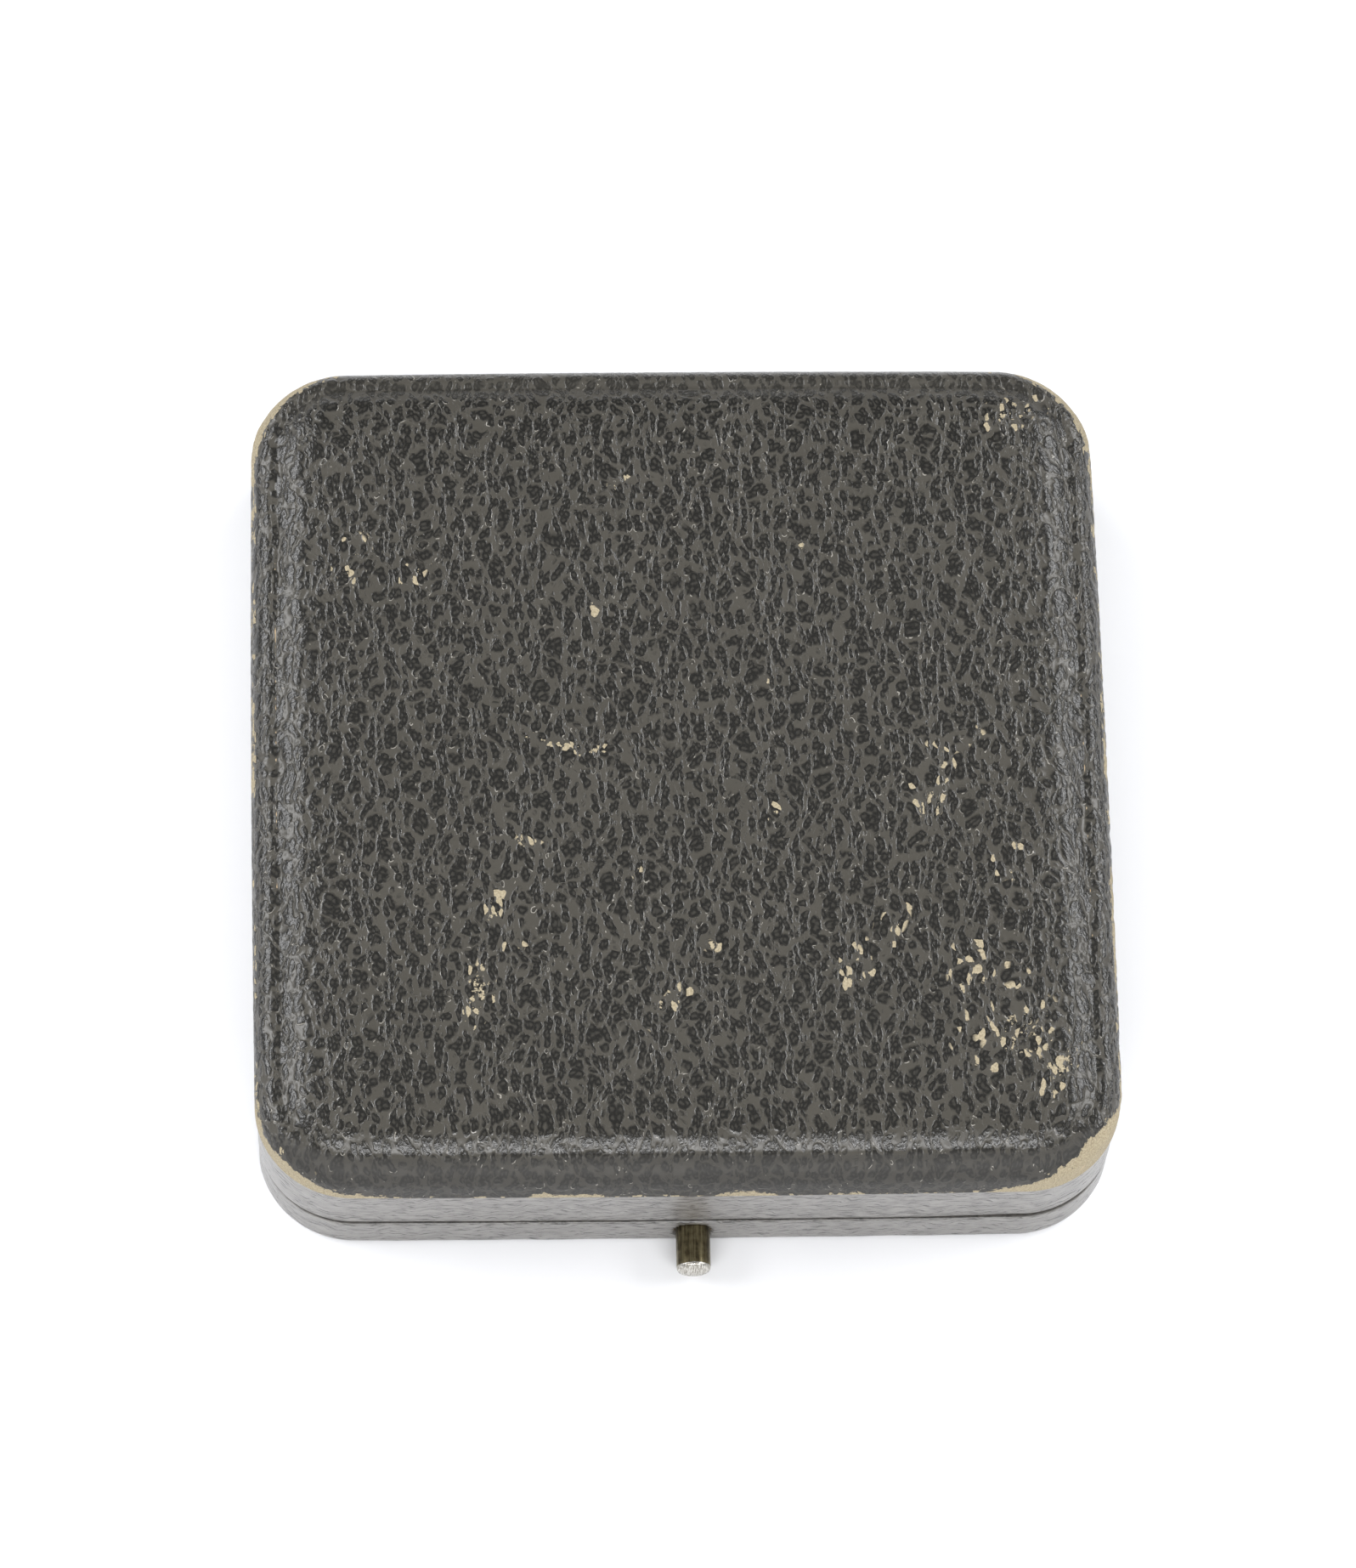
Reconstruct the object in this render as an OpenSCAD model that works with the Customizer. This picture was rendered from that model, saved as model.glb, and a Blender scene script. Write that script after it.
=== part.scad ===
// Low square gift case for jewellery, closed, with a hinged lid and a push-button catch.
// The case stands on the plane z = 0 with the origin at the middle of its footprint.
// The catch is at the front (-Y) and the two butt hinges are at the back (+Y).

/* [Case] */
// Width of the case over the lid's top edge, side to side
case_w = 90; // [60:0.5:140]
// Depth of the case over the lid's top edge, front to back
case_d = 93.3; // [60:0.1:140]
// Plan radius of the four upright corners
corner_r = 10; // [9:0.5:16]
// Thickness of the leatherette covering
cover_t = 0.4; // [0.3:0.05:0.8]
// How much narrower the base is than the lid, side to side
base_narrower = 0.8; // [0:0.1:2]
// Thickness of the wooden wall frames of the lid
wall_t = 3.2; // [2.5:0.1:5]

/* [Base] */
// Height of the base from the table to its rim
base_h = 5.1; // [5:0.1:12]
// Thickness of the paper leather pasted under the base
bottom_t = 0.35; // [0.2:0.05:0.6]
// Thickness of the floor board
floor_t = 1.4; // [1.2:0.1:3]
// Distance that the sheet under the base is held back from the edge
bottom_inset = 0.9; // [0.5:0.1:3]

/* [Lid] */
// Gap between the rims of base and lid
rim_gap = 0.3; // [0.1:0.05:0.6]
// Height of the lid's covered side below the overlapping edge of the top cover
lid_side_h = 7.4; // [6:0.1:20]
// Height of the upright strip of the top cover, below the rounded edge
strip_h = 2.3; // [1:0.1:5]
// How far the top cover stands proud of the side cover
strip_proud = 0.25; // [0:0.05:0.4]
// Radius of the rounded edge that runs around the lid
edge_r = 3; // [2:0.1:3.5]
// Radius of the groove between the rounded edge and the padded top
groove_r = 0.5; // [0.3:0.05:0.6]
// Height of the padded top above the rounded edge
pillow_h = 1.7; // [1.4:0.1:3]
// Radius of the padded top's shoulder
shoulder_r = 1.2; // [0.8:0.1:1.3]
// Rise of the padded top from its shoulder to its flat middle
crown = 0.15; // [0.05:0.05:0.5]

/* [Inside] */
// Clearance between the lid's wall and the inner collar
collar_gap = 0.4; // [0.3:0.05:1]
// Thickness of the inner collar
collar_t = 1.2; // [0.8:0.1:2]
// Height of the collar's top above the table
collar_top = 9.5; // [9:0.1:11]
// Thickness of the velvet pasted on the collar
velvet_t = 0.3; // [0.2:0.05:0.5]
// Thickness of the boards that carry the pads
pad_board_t = 0.6; // [0.4:0.1:1.5]
// Height of the jewel pad's top above the table
pad_top = 5.4; // [4:0.1:7]
// Depth of the lid cushion below its board
lid_cushion_t = 1.9; // [1:0.1:4]

/* [Hinges] */
// Distance of each hinge's middle from the centre line
hinge_x = 26; // [15:1:40]
// Length of a hinge along its pin
hinge_len = 13; // [9:1:20]
// Outer radius of the hinge knuckles
knuckle_r = 1.05; // [0.9:0.05:1.5]
// Radius of the hinge pin
pin_r = 0.5; // [0.3:0.05:0.7]
// Running clearance of the lid's knuckle on the pin
pin_fit = 0.05; // [0.02:0.01:0.1]
// Thickness of the hinge leaves
leaf_t = 0.45; // [0.3:0.05:0.8]
// How far the pin's axis lies behind the lid's back
axis_out = 0.3; // [0.2:0.05:1]

/* [Catch] */
// Sideways place of the push button
button_x = 0.6; // [-5:0.1:5]
// Height of the push button's axis above the table
button_z = 2.7; // [2.6:0.05:6]
// Radius of the push button
button_r = 1.79; // [1:0.01:1.9]
// Length of the button that stands out of the front
button_out = 4.7; // [2:0.1:8]
// Travel of the button when it is pressed
button_travel = 1.2; // [0.9:0.1:1.5]
// Running clearance of the button in its bush
button_fit = 0.06; // [0.03:0.01:0.1]
// Wall thickness of the brass bush in the front wall
bush_t = 0.15; // [0.1:0.05:0.2]
// Thickness of the hook plate behind the front wall
hook_t = 0.7; // [0.4:0.1:1]
// Half the width of the hook plate
hook_half_w = 2.2; // [1.5:0.1:3]
// Height of the underside of the hook's nose
nose_z = 7.2; // [7.2:0.1:9]
// How far the nose reaches forward of the hook plate
nose_reach = 1.3; // [1:0.1:1.5]
// Thickness of the sheet brass of the catch case
case_sheet_t = 0.4; // [0.3:0.05:0.6]
// Radius of the return spring, to the middle of its wire
spring_r = 1.25; // [1.15:0.05:1.4]
// Radius of the return spring's wire
wire_r = 0.14; // [0.1:0.01:0.15]
// Number of turns of the return spring
spring_turns = 5; // [3:1:8]

/* [Hidden] */

$fn = 48;

// overshoot of cutting shapes past the face they cut
over = 1;

// heights, from the table up
rim_z = bottom_t;
floor_top = bottom_t + floor_t;
turn_t = 0.25;
lid_rim = base_h + rim_gap;
strip_z = lid_rim + lid_side_h;
edge_z = strip_z + strip_h;
board_top = edge_z + edge_r - cover_t;
edge_top = edge_z + edge_r;
top_z = edge_top + pillow_h;

// plan sizes of the lid: over the side cover and inside the wall
side_in = strip_proud;
wall_in = side_in + cover_t;
room_in = wall_in + wall_t;

// plan sizes of the base
base_w = case_w - base_narrower;
base_d = case_d - 0.1;
base_r = corner_r - 0.1;

// plan sizes of the collar, which fits in the base's wall and clears the lid's wall
collar_in = room_in + collar_gap;
lining_in = collar_in + collar_t;
inside_in = lining_in + velvet_t;
pad_in = inside_in + 0.15;

// places across the front, as y
front_room = -(case_d / 2 - room_in);
front_collar = -(case_d / 2 - collar_in);
front_inside = front_collar + collar_t;
front_face = -base_d / 2;

// the padded top, in the ring profile's own x, measured outward from the corner's centre
groove_x = corner_r - edge_r - groove_r / 2;
groove_z = edge_top + groove_r / 2;
pillow_x = groove_x - 0.45;
shoulder_x = pillow_x - shoulder_r;
crown_r = (shoulder_x * shoulder_x + crown * crown) / (2 * crown);

// hinge axis and knuckles
axis_y = case_d / 2 + axis_out;
axis_z = base_h + rim_gap / 2;
knuckle_gap = 0.12;
knuckle_len = hinge_len / 3;
leaf_front = axis_y - 3.95;
leaf_back = axis_y - knuckle_r - 0.35;
recess_r = knuckle_r + 0.4;
nail_x = hinge_len / 3;
nail_y = axis_y - 2.65;
nail_head_r = 0.75;
nail_head_t = 0.22;
nail_r = 0.35;
nail_len = 2.5;

// catch
bore_r = button_r + button_fit;
bush_r = bore_r + bush_t;
hook_front = front_collar + 0.1;
hook_back = hook_front + hook_t;
hook_foot = 0.8;
hook_top = nose_z + 1.4;
shank_r = 0.9;
stop_r = 1.5;
stop_t = 0.4;
case_half_w = 4.2;
case_back = front_inside + 4;
case_top = hook_top + 0.7;
ear_w = 2.4;
ear_z = 3.5;
ear_h = 4;
pocket_z = 0.6;
shank_end = case_back - case_sheet_t - button_travel - 0.4;
notch_half_w = hook_half_w + 0.4;
strike_t = 0.45;
strike_half_w = 4.6;
strike_foot = lid_rim + turn_t;
strike_h = 4.95;
window_half_w = hook_half_w + 0.5;
window_foot = nose_z - 0.2;
window_h = 2.3;
screw_r = 0.45;
screw_head_r = 0.8;

// colours
leather = [0.24, 0.22, 0.21];
edge_leather = [0.33, 0.31, 0.29];
timber = [0.72, 0.58, 0.40];
brass = [0.72, 0.58, 0.28];
steel = [0.62, 0.62, 0.64];
card = [0.60, 0.55, 0.47];
velvet = [0.16, 0.10, 0.20];
satin = [0.90, 0.86, 0.76];
wadding = [0.93, 0.92, 0.88];

// rounded rectangle, centred
module rounded(w, d, r) {
    square([w, d - 2 * r], center = true);
    square([w - 2 * r, d], center = true);
    for (sx = [-1, 1], sy = [-1, 1])
        translate([sx * (w / 2 - r), sy * (d / 2 - r)]) circle(r);
}

// the lid's outline, drawn in from its widest edge
module lid_outline(inset) {
    rounded(case_w - 2 * inset, case_d - 2 * inset, corner_r - inset);
}

// the base's outline, drawn in from its side
module base_outline(inset) {
    rounded(base_w - 2 * inset, base_d - 2 * inset, base_r - inset);
}

// a slab of a 2D shape between two heights
module slab(z0, z1) {
    translate([0, 0, z0]) linear_extrude(z1 - z0) children();
}

// an upright profile led around the lid: x outward from the corner's centre, y upward
module around() {
    side_x = case_w / 2 - corner_r;
    side_y = case_d / 2 - corner_r;
    for (k = [0:3]) {
        far = k % 2 == 0 ? side_x : side_y;
        half = k % 2 == 0 ? side_y : side_x;
        rotate([0, 0, 90 * k]) {
            translate([far, half, 0]) rotate_extrude(angle = 90) children();
            translate([far, half, 0]) rotate([90, 0, 0]) linear_extrude(2 * half) children();
        }
    }
}

// the flat middle inside the ring that around() makes
module middle(z0, z1) {
    slab(z0, z1) square([case_w - 2 * corner_r, case_d - 2 * corner_r], center = true);
}

// half section of the lid's rounded edge, drawn in by a thickness, down to a foot
module edge_section(inset, foot) {
    x_edge = corner_r - edge_r;
    difference() {
        union() {
            translate([0, foot]) square([corner_r - inset, edge_z - foot]);
            translate([0, foot]) square([x_edge, edge_top - inset - foot]);
            intersection() {
                translate([x_edge, edge_z]) circle(edge_r - inset);
                translate([x_edge - over, edge_z - over]) square([edge_r + over, edge_r + over]);
            }
        }
        translate([groove_x, groove_z]) circle(groove_r + inset);
        translate([-over, edge_top - inset]) square([groove_x + over, over]);
    }
}

// half section of the padded top, drawn in by a thickness
module pillow_section(inset) {
    foot = board_top;
    crest = top_z - crown / 3 - inset;
    intersection() {
        union() {
            translate([0, foot]) square([shoulder_x, crest - foot]);
            translate([0, foot]) square([pillow_x - inset, crest - shoulder_r + inset - foot]);
            intersection() {
                translate([shoulder_x, crest - shoulder_r + inset]) circle(shoulder_r - inset);
                translate([0, foot]) square([corner_r, 2 * pillow_h]);
            }
        }
        translate([0, top_z - inset - crown_r]) circle(crown_r, $fn = 360);
        translate([0, foot]) square([corner_r, 2 * pillow_h]);
    }
}

// a box given by its two far corners
module block(a, b) {
    translate(a) cube(b - a);
}

// a round bar along X, between two places
module bar_x(x0, x1, y, z, r) {
    translate([x0, y, z]) rotate([0, 90, 0]) cylinder(r = r, h = x1 - x0);
}

// a round bar along Y, on the button's axis
module bar_y(y0, y1, r) {
    translate([button_x, y0, button_z]) rotate([-90, 0, 0]) cylinder(r = r, h = y1 - y0);
}

// the room for the knuckles of both hinges
module hinge_recess() {
    for (s = [-1, 1])
        bar_x(s * hinge_x - hinge_len / 2 - 0.3, s * hinge_x + hinge_len / 2 + 0.3,
              axis_y, axis_z, recess_r);
}

// a leaf's plate, in the rim from z0 up
module leaf_plate(x, z0) {
    block([x - hinge_len / 2, leaf_front, z0], [x + hinge_len / 2, leaf_back, z0 + leaf_t]);
}

// a tab from the leaf to the pin's axis
module leaf_tab(x0, x1, z0) {
    block([x0, leaf_back, z0], [x1, axis_y, z0 + leaf_t]);
}

// nails of one hinge leaf: dir is -1 down into the base, +1 up into the lid
module leaf_nails(x, z, dir) {
    for (s = [-1, 1])
        translate([x + s * nail_x, nail_y, z]) rotate([dir > 0 ? 0 : 180, 0, 0]) {
            cylinder(r = nail_head_r, h = nail_head_t);
            cylinder(r = nail_r, h = nail_len);
        }
}

// base leaf with its two outer knuckles, bored for the pin
module base_leaf(x) {
    x0 = x - hinge_len / 2;
    x3 = x + hinge_len / 2;
    x1 = x0 + knuckle_len - knuckle_gap / 2;
    x2 = x3 - knuckle_len + knuckle_gap / 2;
    difference() {
        union() {
            leaf_plate(x, base_h - leaf_t);
            leaf_tab(x0, x1, base_h - leaf_t);
            leaf_tab(x2, x3, base_h - leaf_t);
            bar_x(x0, x1, axis_y, axis_z, knuckle_r);
            bar_x(x2, x3, axis_y, axis_z, knuckle_r);
        }
        bar_x(x0 - over, x3 + over, axis_y, axis_z, pin_r);
        leaf_nails(x, base_h, -1);
    }
}

// lid leaf with its middle knuckle, bored to run on the pin
module lid_leaf(x) {
    x1 = x - knuckle_len / 2 + knuckle_gap / 2;
    x2 = x + knuckle_len / 2 - knuckle_gap / 2;
    difference() {
        union() {
            leaf_plate(x, lid_rim);
            leaf_tab(x1, x2, lid_rim);
            bar_x(x1, x2, axis_y, axis_z, knuckle_r);
        }
        bar_x(x1 - over, x2 + over, axis_y, axis_z, pin_r + pin_fit);
        leaf_nails(x, lid_rim, 1);
    }
}

// hinge pin, level with the outer ends of the knuckles
module hinge_pin(x) {
    color(steel) bar_x(x - hinge_len / 2, x + hinge_len / 2, axis_y, axis_z, pin_r);
}

// everything that the hinges cut out of the base
module base_hinge_cuts() {
    hinge_recess();
    for (s = [-1, 1]) {
        leaf_plate(s * hinge_x, base_h - leaf_t);
        block([s * hinge_x - hinge_len / 2, leaf_back, base_h - leaf_t],
              [s * hinge_x + hinge_len / 2, axis_y, base_h + over]);
        leaf_nails(s * hinge_x, base_h, -1);
    }
}

// everything that the hinges cut out of the lid
module lid_hinge_cuts() {
    hinge_recess();
    for (s = [-1, 1]) {
        leaf_plate(s * hinge_x, lid_rim);
        block([s * hinge_x - hinge_len / 2, leaf_back, lid_rim - over],
              [s * hinge_x + hinge_len / 2, axis_y, lid_rim + leaf_t]);
        leaf_nails(s * hinge_x, lid_rim, 1);
    }
}

// room that the catch takes from the pads
module catch_room(z0, z1) {
    block([button_x - case_half_w - ear_w - 0.3, front_collar - over, z0],
          [button_x + case_half_w + ear_w + 0.3, case_back + 0.3, z1]);
}

// screws of the catch case's two ears, through the ear into the collar
module ear_screws() {
    for (s = [-1, 1])
        translate([button_x + s * (case_half_w + ear_w / 2), front_inside + case_sheet_t,
                   ear_z + ear_h / 2]) rotate([90, 0, 0]) {
            cylinder(r = screw_head_r, h = case_sheet_t / 2);
            cylinder(r = screw_r, h = case_sheet_t + collar_t - velvet_t - 0.1);
        }
}

// nails that hold the strike plate in the lid's front wall
module plate_nails() {
    for (s = [-1, 1])
        translate([button_x + s * (strike_half_w + window_half_w) / 2, front_room,
                   window_foot + window_h / 2]) rotate([90, 0, 0]) {
            cylinder(r = nail_head_r, h = strike_t / 2);
            cylinder(r = nail_r, h = strike_t + nail_len / 2);
        }
}

// sheet pasted under the base, on which the case stands
module bottom_cover() {
    color(leather) slab(0, bottom_t) base_outline(bottom_inset);
}

// floor board inside the base's wall, with a pocket under the catch
module floor_board() {
    color(card) difference() {
        slab(bottom_t, floor_top) lid_outline(collar_in);
        block([button_x - case_half_w + case_sheet_t, front_collar - over, pocket_z],
              [button_x + case_half_w - case_sheet_t, case_back - case_sheet_t, floor_top + over]);
    }
}

// wooden wall of the base, bored for the button and let in for the hinges
module base_wall() {
    color(timber) difference() {
        slab(rim_z, base_h - turn_t) difference() {
            base_outline(cover_t);
            lid_outline(collar_in);
        }
        bar_y(front_face - over, front_collar + over, bush_r);
        base_hinge_cuts();
    }
}

// leatherette around the base, turned in over its rim
module base_side_cover() {
    color(leather) difference() {
        union() {
            slab(rim_z, base_h - turn_t) difference() {
                base_outline(0);
                base_outline(cover_t);
            }
            slab(base_h - turn_t, base_h) difference() {
                base_outline(0);
                lid_outline(collar_in);
            }
        }
        bar_y(front_face - over, front_face + cover_t + 0.1, bore_r);
        base_hinge_cuts();
    }
}

// inner collar that the lid closes over, notched for the hook
module collar() {
    color(card) difference() {
        union() {
            slab(floor_top, base_h) difference() {
                lid_outline(collar_in);
                lid_outline(lining_in);
            }
            slab(base_h, collar_top) difference() {
                lid_outline(collar_in + velvet_t);
                lid_outline(lining_in);
            }
        }
        block([button_x - notch_half_w, front_collar - over, floor_top - over],
              [button_x + notch_half_w, front_inside + 0.01, collar_top + over]);
        ear_screws();
    }
}

// velvet drawn over the collar: its inner face, top edge and outer face above the base's rim
module collar_velvet() {
    color(velvet) difference() {
        union() {
            slab(floor_top, collar_top) difference() {
                lid_outline(lining_in);
                lid_outline(inside_in);
            }
            slab(base_h, collar_top) difference() {
                lid_outline(collar_in);
                lid_outline(collar_in + velvet_t);
            }
            slab(collar_top, collar_top + turn_t) difference() {
                lid_outline(collar_in);
                lid_outline(inside_in);
            }
        }
        intersection() {
            catch_room(floor_top - over, case_top + 0.2);
            slab(0, collar_top) lid_outline(lining_in);
        }
        block([button_x - notch_half_w, front_collar - over, floor_top - over],
              [button_x + notch_half_w, front_inside + over, collar_top + over]);
    }
}

// card that carries the jewel pad
module pad_board() {
    color(card) difference() {
        slab(floor_top, floor_top + pad_board_t) lid_outline(pad_in);
        catch_room(0, pad_top);
    }
}

// soft velvet pad that the jewel lies on
module jewel_pad() {
    color(velvet) difference() {
        slab(floor_top + pad_board_t, pad_top) lid_outline(pad_in);
        catch_room(0, pad_top + over);
    }
}

module hinge_base_left() {
    color(brass) base_leaf(-hinge_x);
}

module hinge_base_right() {
    color(brass) base_leaf(hinge_x);
}

module hinge_pin_left() {
    hinge_pin(-hinge_x);
}

module hinge_pin_right() {
    hinge_pin(hinge_x);
}

// four nails that hold the base leaves
module hinge_nails_base() {
    color(brass) for (s = [-1, 1]) leaf_nails(s * hinge_x, base_h, -1);
}

// thin brass tube that lines the button's hole
module button_bush() {
    color(brass) difference() {
        bar_y(front_face + cover_t, front_collar, bush_r);
        bar_y(front_face, front_collar + over, bore_r);
    }
}

// folded brass case that carries the spring behind the hook, open to the front and below
module catch_case() {
    x0 = button_x - case_half_w;
    x1 = button_x + case_half_w;
    color(brass) difference() {
        union() {
            block([x0, front_inside, floor_top], [x1, case_back, case_top]);
            block([x0 - ear_w, front_inside, ear_z],
                  [x1 + ear_w, front_inside + case_sheet_t, ear_z + ear_h]);
        }
        block([x0 + case_sheet_t, front_inside - over, floor_top - over],
              [x1 - case_sheet_t, case_back - case_sheet_t, case_top - case_sheet_t]);
        ear_screws();
    }
}

// two small screws of the catch case
module catch_screws() {
    color(steel) ear_screws();
}

// compression spring around the shank, between the stop collar and the case
module return_spring() {
    sides = 6;
    steps = 14;
    rings = spring_turns * steps;
    y0 = hook_back + stop_t + wire_r + 0.03;
    y1 = case_back - case_sheet_t - wire_r - 0.03;
    function coil(i, j) =
        let (a = 360 * i / steps, b = 360 * j / sides, r = spring_r + wire_r * cos(b))
        [button_x + r * cos(a), y0 + (y1 - y0) * i / rings + wire_r * sin(b), button_z + r * sin(a)];
    points = [for (i = [0:rings], j = [0:sides - 1]) coil(i, j)];
    walls = [
        for (i = [0:rings - 1], j = [0:sides - 1])
            let (k = (j + 1) % sides)
            each [
                [i * sides + j, i * sides + k, (i + 1) * sides + k],
                [i * sides + j, (i + 1) * sides + k, (i + 1) * sides + j]
            ]
    ];
    first = [for (j = [sides - 1:-1:0]) j];
    last = [for (j = [0:sides - 1]) rings * sides + j];
    color(steel) polyhedron(points, concat([first], walls, [last]));
}

// push button: a plain round bar with a slightly domed end, and a thin shank behind
module push_button() {
    dome = 0.25;
    dome_r = (button_r * button_r + dome * dome) / (2 * dome);
    outer = button_out + (front_collar - front_face) + 0.1;
    color(brass) translate([button_x, hook_front, button_z]) rotate([90, 0, 0]) {
        rotate_extrude() intersection() {
            square([button_r, outer]);
            translate([0, outer - dome_r]) circle(dome_r, $fn = 360);
        }
        translate([0, 0, hook_front - shank_end])
            cylinder(r = shank_r, h = shank_end - hook_front);
    }
}

// hook plate behind the front wall, with a nose that reaches over the strike plate
module latch_hook() {
    nose_y = hook_front - nose_reach;
    color(brass) difference() {
        translate([button_x - hook_half_w, 0, 0]) rotate([90, 0, 90])
            linear_extrude(2 * hook_half_w) polygon([
                [hook_back, hook_foot],
                [hook_back, hook_top],
                [hook_front - 0.2, hook_top],
                [nose_y, nose_z + 0.3],
                [nose_y, nose_z],
                [hook_front, nose_z],
                [hook_front, hook_foot]
            ]);
        bar_y(hook_front - over, hook_back + over, shank_r);
    }
}

// stop collar riveted on the shank behind the hook plate
module button_collar() {
    color(steel) difference() {
        bar_y(hook_back, hook_back + stop_t, stop_r);
        bar_y(hook_back - over, hook_back + stop_t + over, shank_r);
    }
}

// room that the strike plate takes from the lid's front wall and its lining
module strike_room() {
    block([button_x - strike_half_w, front_room - strike_t, strike_foot],
          [button_x + strike_half_w, front_room + over, strike_foot + strike_h]);
}

// wooden wall of the lid, let in for the hinges and the strike plate
module lid_wall() {
    color(timber) difference() {
        slab(lid_rim + turn_t, strip_z) difference() {
            lid_outline(wall_in);
            lid_outline(room_in - turn_t);
        }
        lid_hinge_cuts();
        strike_room();
        block([button_x - window_half_w, front_room - 1.5, window_foot - 0.1],
              [button_x + window_half_w, front_room + over, window_foot + window_h + 0.1]);
        plate_nails();
    }
}

// leatherette around the lid's side, turned in under its rim and up the wall's inner face
module lid_side_cover() {
    color(leather) difference() {
        union() {
            slab(lid_rim + turn_t, strip_z) difference() {
                lid_outline(side_in);
                lid_outline(wall_in);
            }
            slab(lid_rim, lid_rim + turn_t) difference() {
                lid_outline(side_in);
                lid_outline(room_in);
            }
            slab(lid_rim + turn_t, strip_z - pad_board_t) difference() {
                lid_outline(room_in - turn_t);
                lid_outline(room_in);
            }
        }
        lid_hinge_cuts();
        strike_room();
    }
}

// board of the lid's top with its rounded edge and a groove around the padding
module lid_top_board() {
    color(timber) {
        around() edge_section(cover_t, strip_z);
        middle(strip_z, board_top);
    }
}

// soft padding under the middle of the top cover
module lid_padding() {
    color(wadding) {
        around() pillow_section(cover_t);
        middle(board_top, top_z - cover_t);
    }
}

// leatherette over the lid's top: strip, rounded edge, groove and padded middle
module lid_top_cover() {
    color(edge_leather) {
        around() difference() {
            union() {
                edge_section(0, strip_z);
                pillow_section(0);
            }
            edge_section(cover_t, strip_z - over);
            pillow_section(cover_t);
        }
        middle(top_z - cover_t, top_z);
    }
}

// card that carries the lid's cushion
module lid_cushion_board() {
    color(card) slab(strip_z - pad_board_t, strip_z) lid_outline(room_in + 0.1);
}

// soft satin cushion inside the lid
module lid_cushion() {
    color(satin) slab(strip_z - pad_board_t - lid_cushion_t, strip_z - pad_board_t)
        lid_outline(room_in + 0.2);
}

module hinge_lid_left() {
    color(brass) lid_leaf(-hinge_x);
}

module hinge_lid_right() {
    color(brass) lid_leaf(hinge_x);
}

// four nails that hold the lid leaves
module hinge_nails_lid() {
    color(brass) for (s = [-1, 1]) leaf_nails(s * hinge_x, lid_rim, 1);
}

// plate with a window for the hook's nose, let into the lid's front wall
module strike_plate() {
    color(brass) difference() {
        block([button_x - strike_half_w, front_room - strike_t, strike_foot],
              [button_x + strike_half_w, front_room, strike_foot + strike_h]);
        block([button_x - window_half_w, front_room - over, window_foot],
              [button_x + window_half_w, front_room + over, window_foot + window_h]);
        plate_nails();
    }
}

// two nails of the strike plate
module strike_nails() {
    color(brass) plate_nails();
}

bottom_cover();
floor_board();
base_wall();
base_side_cover();
collar();
collar_velvet();
pad_board();
jewel_pad();
hinge_base_left();
hinge_base_right();
hinge_pin_left();
hinge_pin_right();
hinge_nails_base();
button_bush();
catch_case();
catch_screws();
return_spring();
push_button();
latch_hook();
button_collar();
lid_wall();
lid_side_cover();
lid_top_board();
lid_padding();
lid_top_cover();
lid_cushion_board();
lid_cushion();
hinge_lid_left();
hinge_lid_right();
hinge_nails_lid();
strike_plate();
strike_nails();
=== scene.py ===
import math

import bmesh
import bpy
import numpy as np
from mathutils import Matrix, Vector


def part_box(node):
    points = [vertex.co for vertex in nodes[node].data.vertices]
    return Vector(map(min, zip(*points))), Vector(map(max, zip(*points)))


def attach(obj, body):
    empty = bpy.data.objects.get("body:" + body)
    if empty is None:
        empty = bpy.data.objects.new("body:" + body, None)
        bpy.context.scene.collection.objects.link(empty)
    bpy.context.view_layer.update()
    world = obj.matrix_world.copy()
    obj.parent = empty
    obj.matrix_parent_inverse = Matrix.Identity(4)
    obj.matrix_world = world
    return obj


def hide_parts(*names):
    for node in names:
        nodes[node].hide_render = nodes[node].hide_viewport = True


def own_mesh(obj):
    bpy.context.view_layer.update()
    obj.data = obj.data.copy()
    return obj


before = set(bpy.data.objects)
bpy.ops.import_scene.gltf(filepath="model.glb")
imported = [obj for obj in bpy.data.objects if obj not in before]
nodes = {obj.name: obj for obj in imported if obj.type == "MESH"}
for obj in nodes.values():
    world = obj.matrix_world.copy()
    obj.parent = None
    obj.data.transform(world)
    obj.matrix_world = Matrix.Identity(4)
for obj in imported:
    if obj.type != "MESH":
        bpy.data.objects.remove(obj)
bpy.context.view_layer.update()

MM = 0.001

# ------------------------------------------------------------------ sizes from the frame, in mm


def box_mm(name):
    low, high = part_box(name)
    return [v / MM for v in low], [v / MM for v in high]


top_low, top_high = box_mm("lid_top_cover")
side_low, _ = box_mm("lid_side_cover")
base_low, base_high = box_mm("base_side_cover")
pin_low, pin_high = box_mm("hinge_pin_right")
leaf_low, _ = box_mm("hinge_base_right")
lid_leaf_low, _ = box_mm("hinge_lid_right")
button_low, button_high = box_mm("push_button")
strike_low, strike_high = box_mm("strike_plate")
padding_low, _ = box_mm("lid_padding")
pad_low, pad_high = box_mm("jewel_pad")
cushion_low, cushion_high = box_mm("lid_cushion")
case_low, case_high = box_mm("catch_case")
spring_low, spring_high = box_mm("return_spring")

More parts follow.
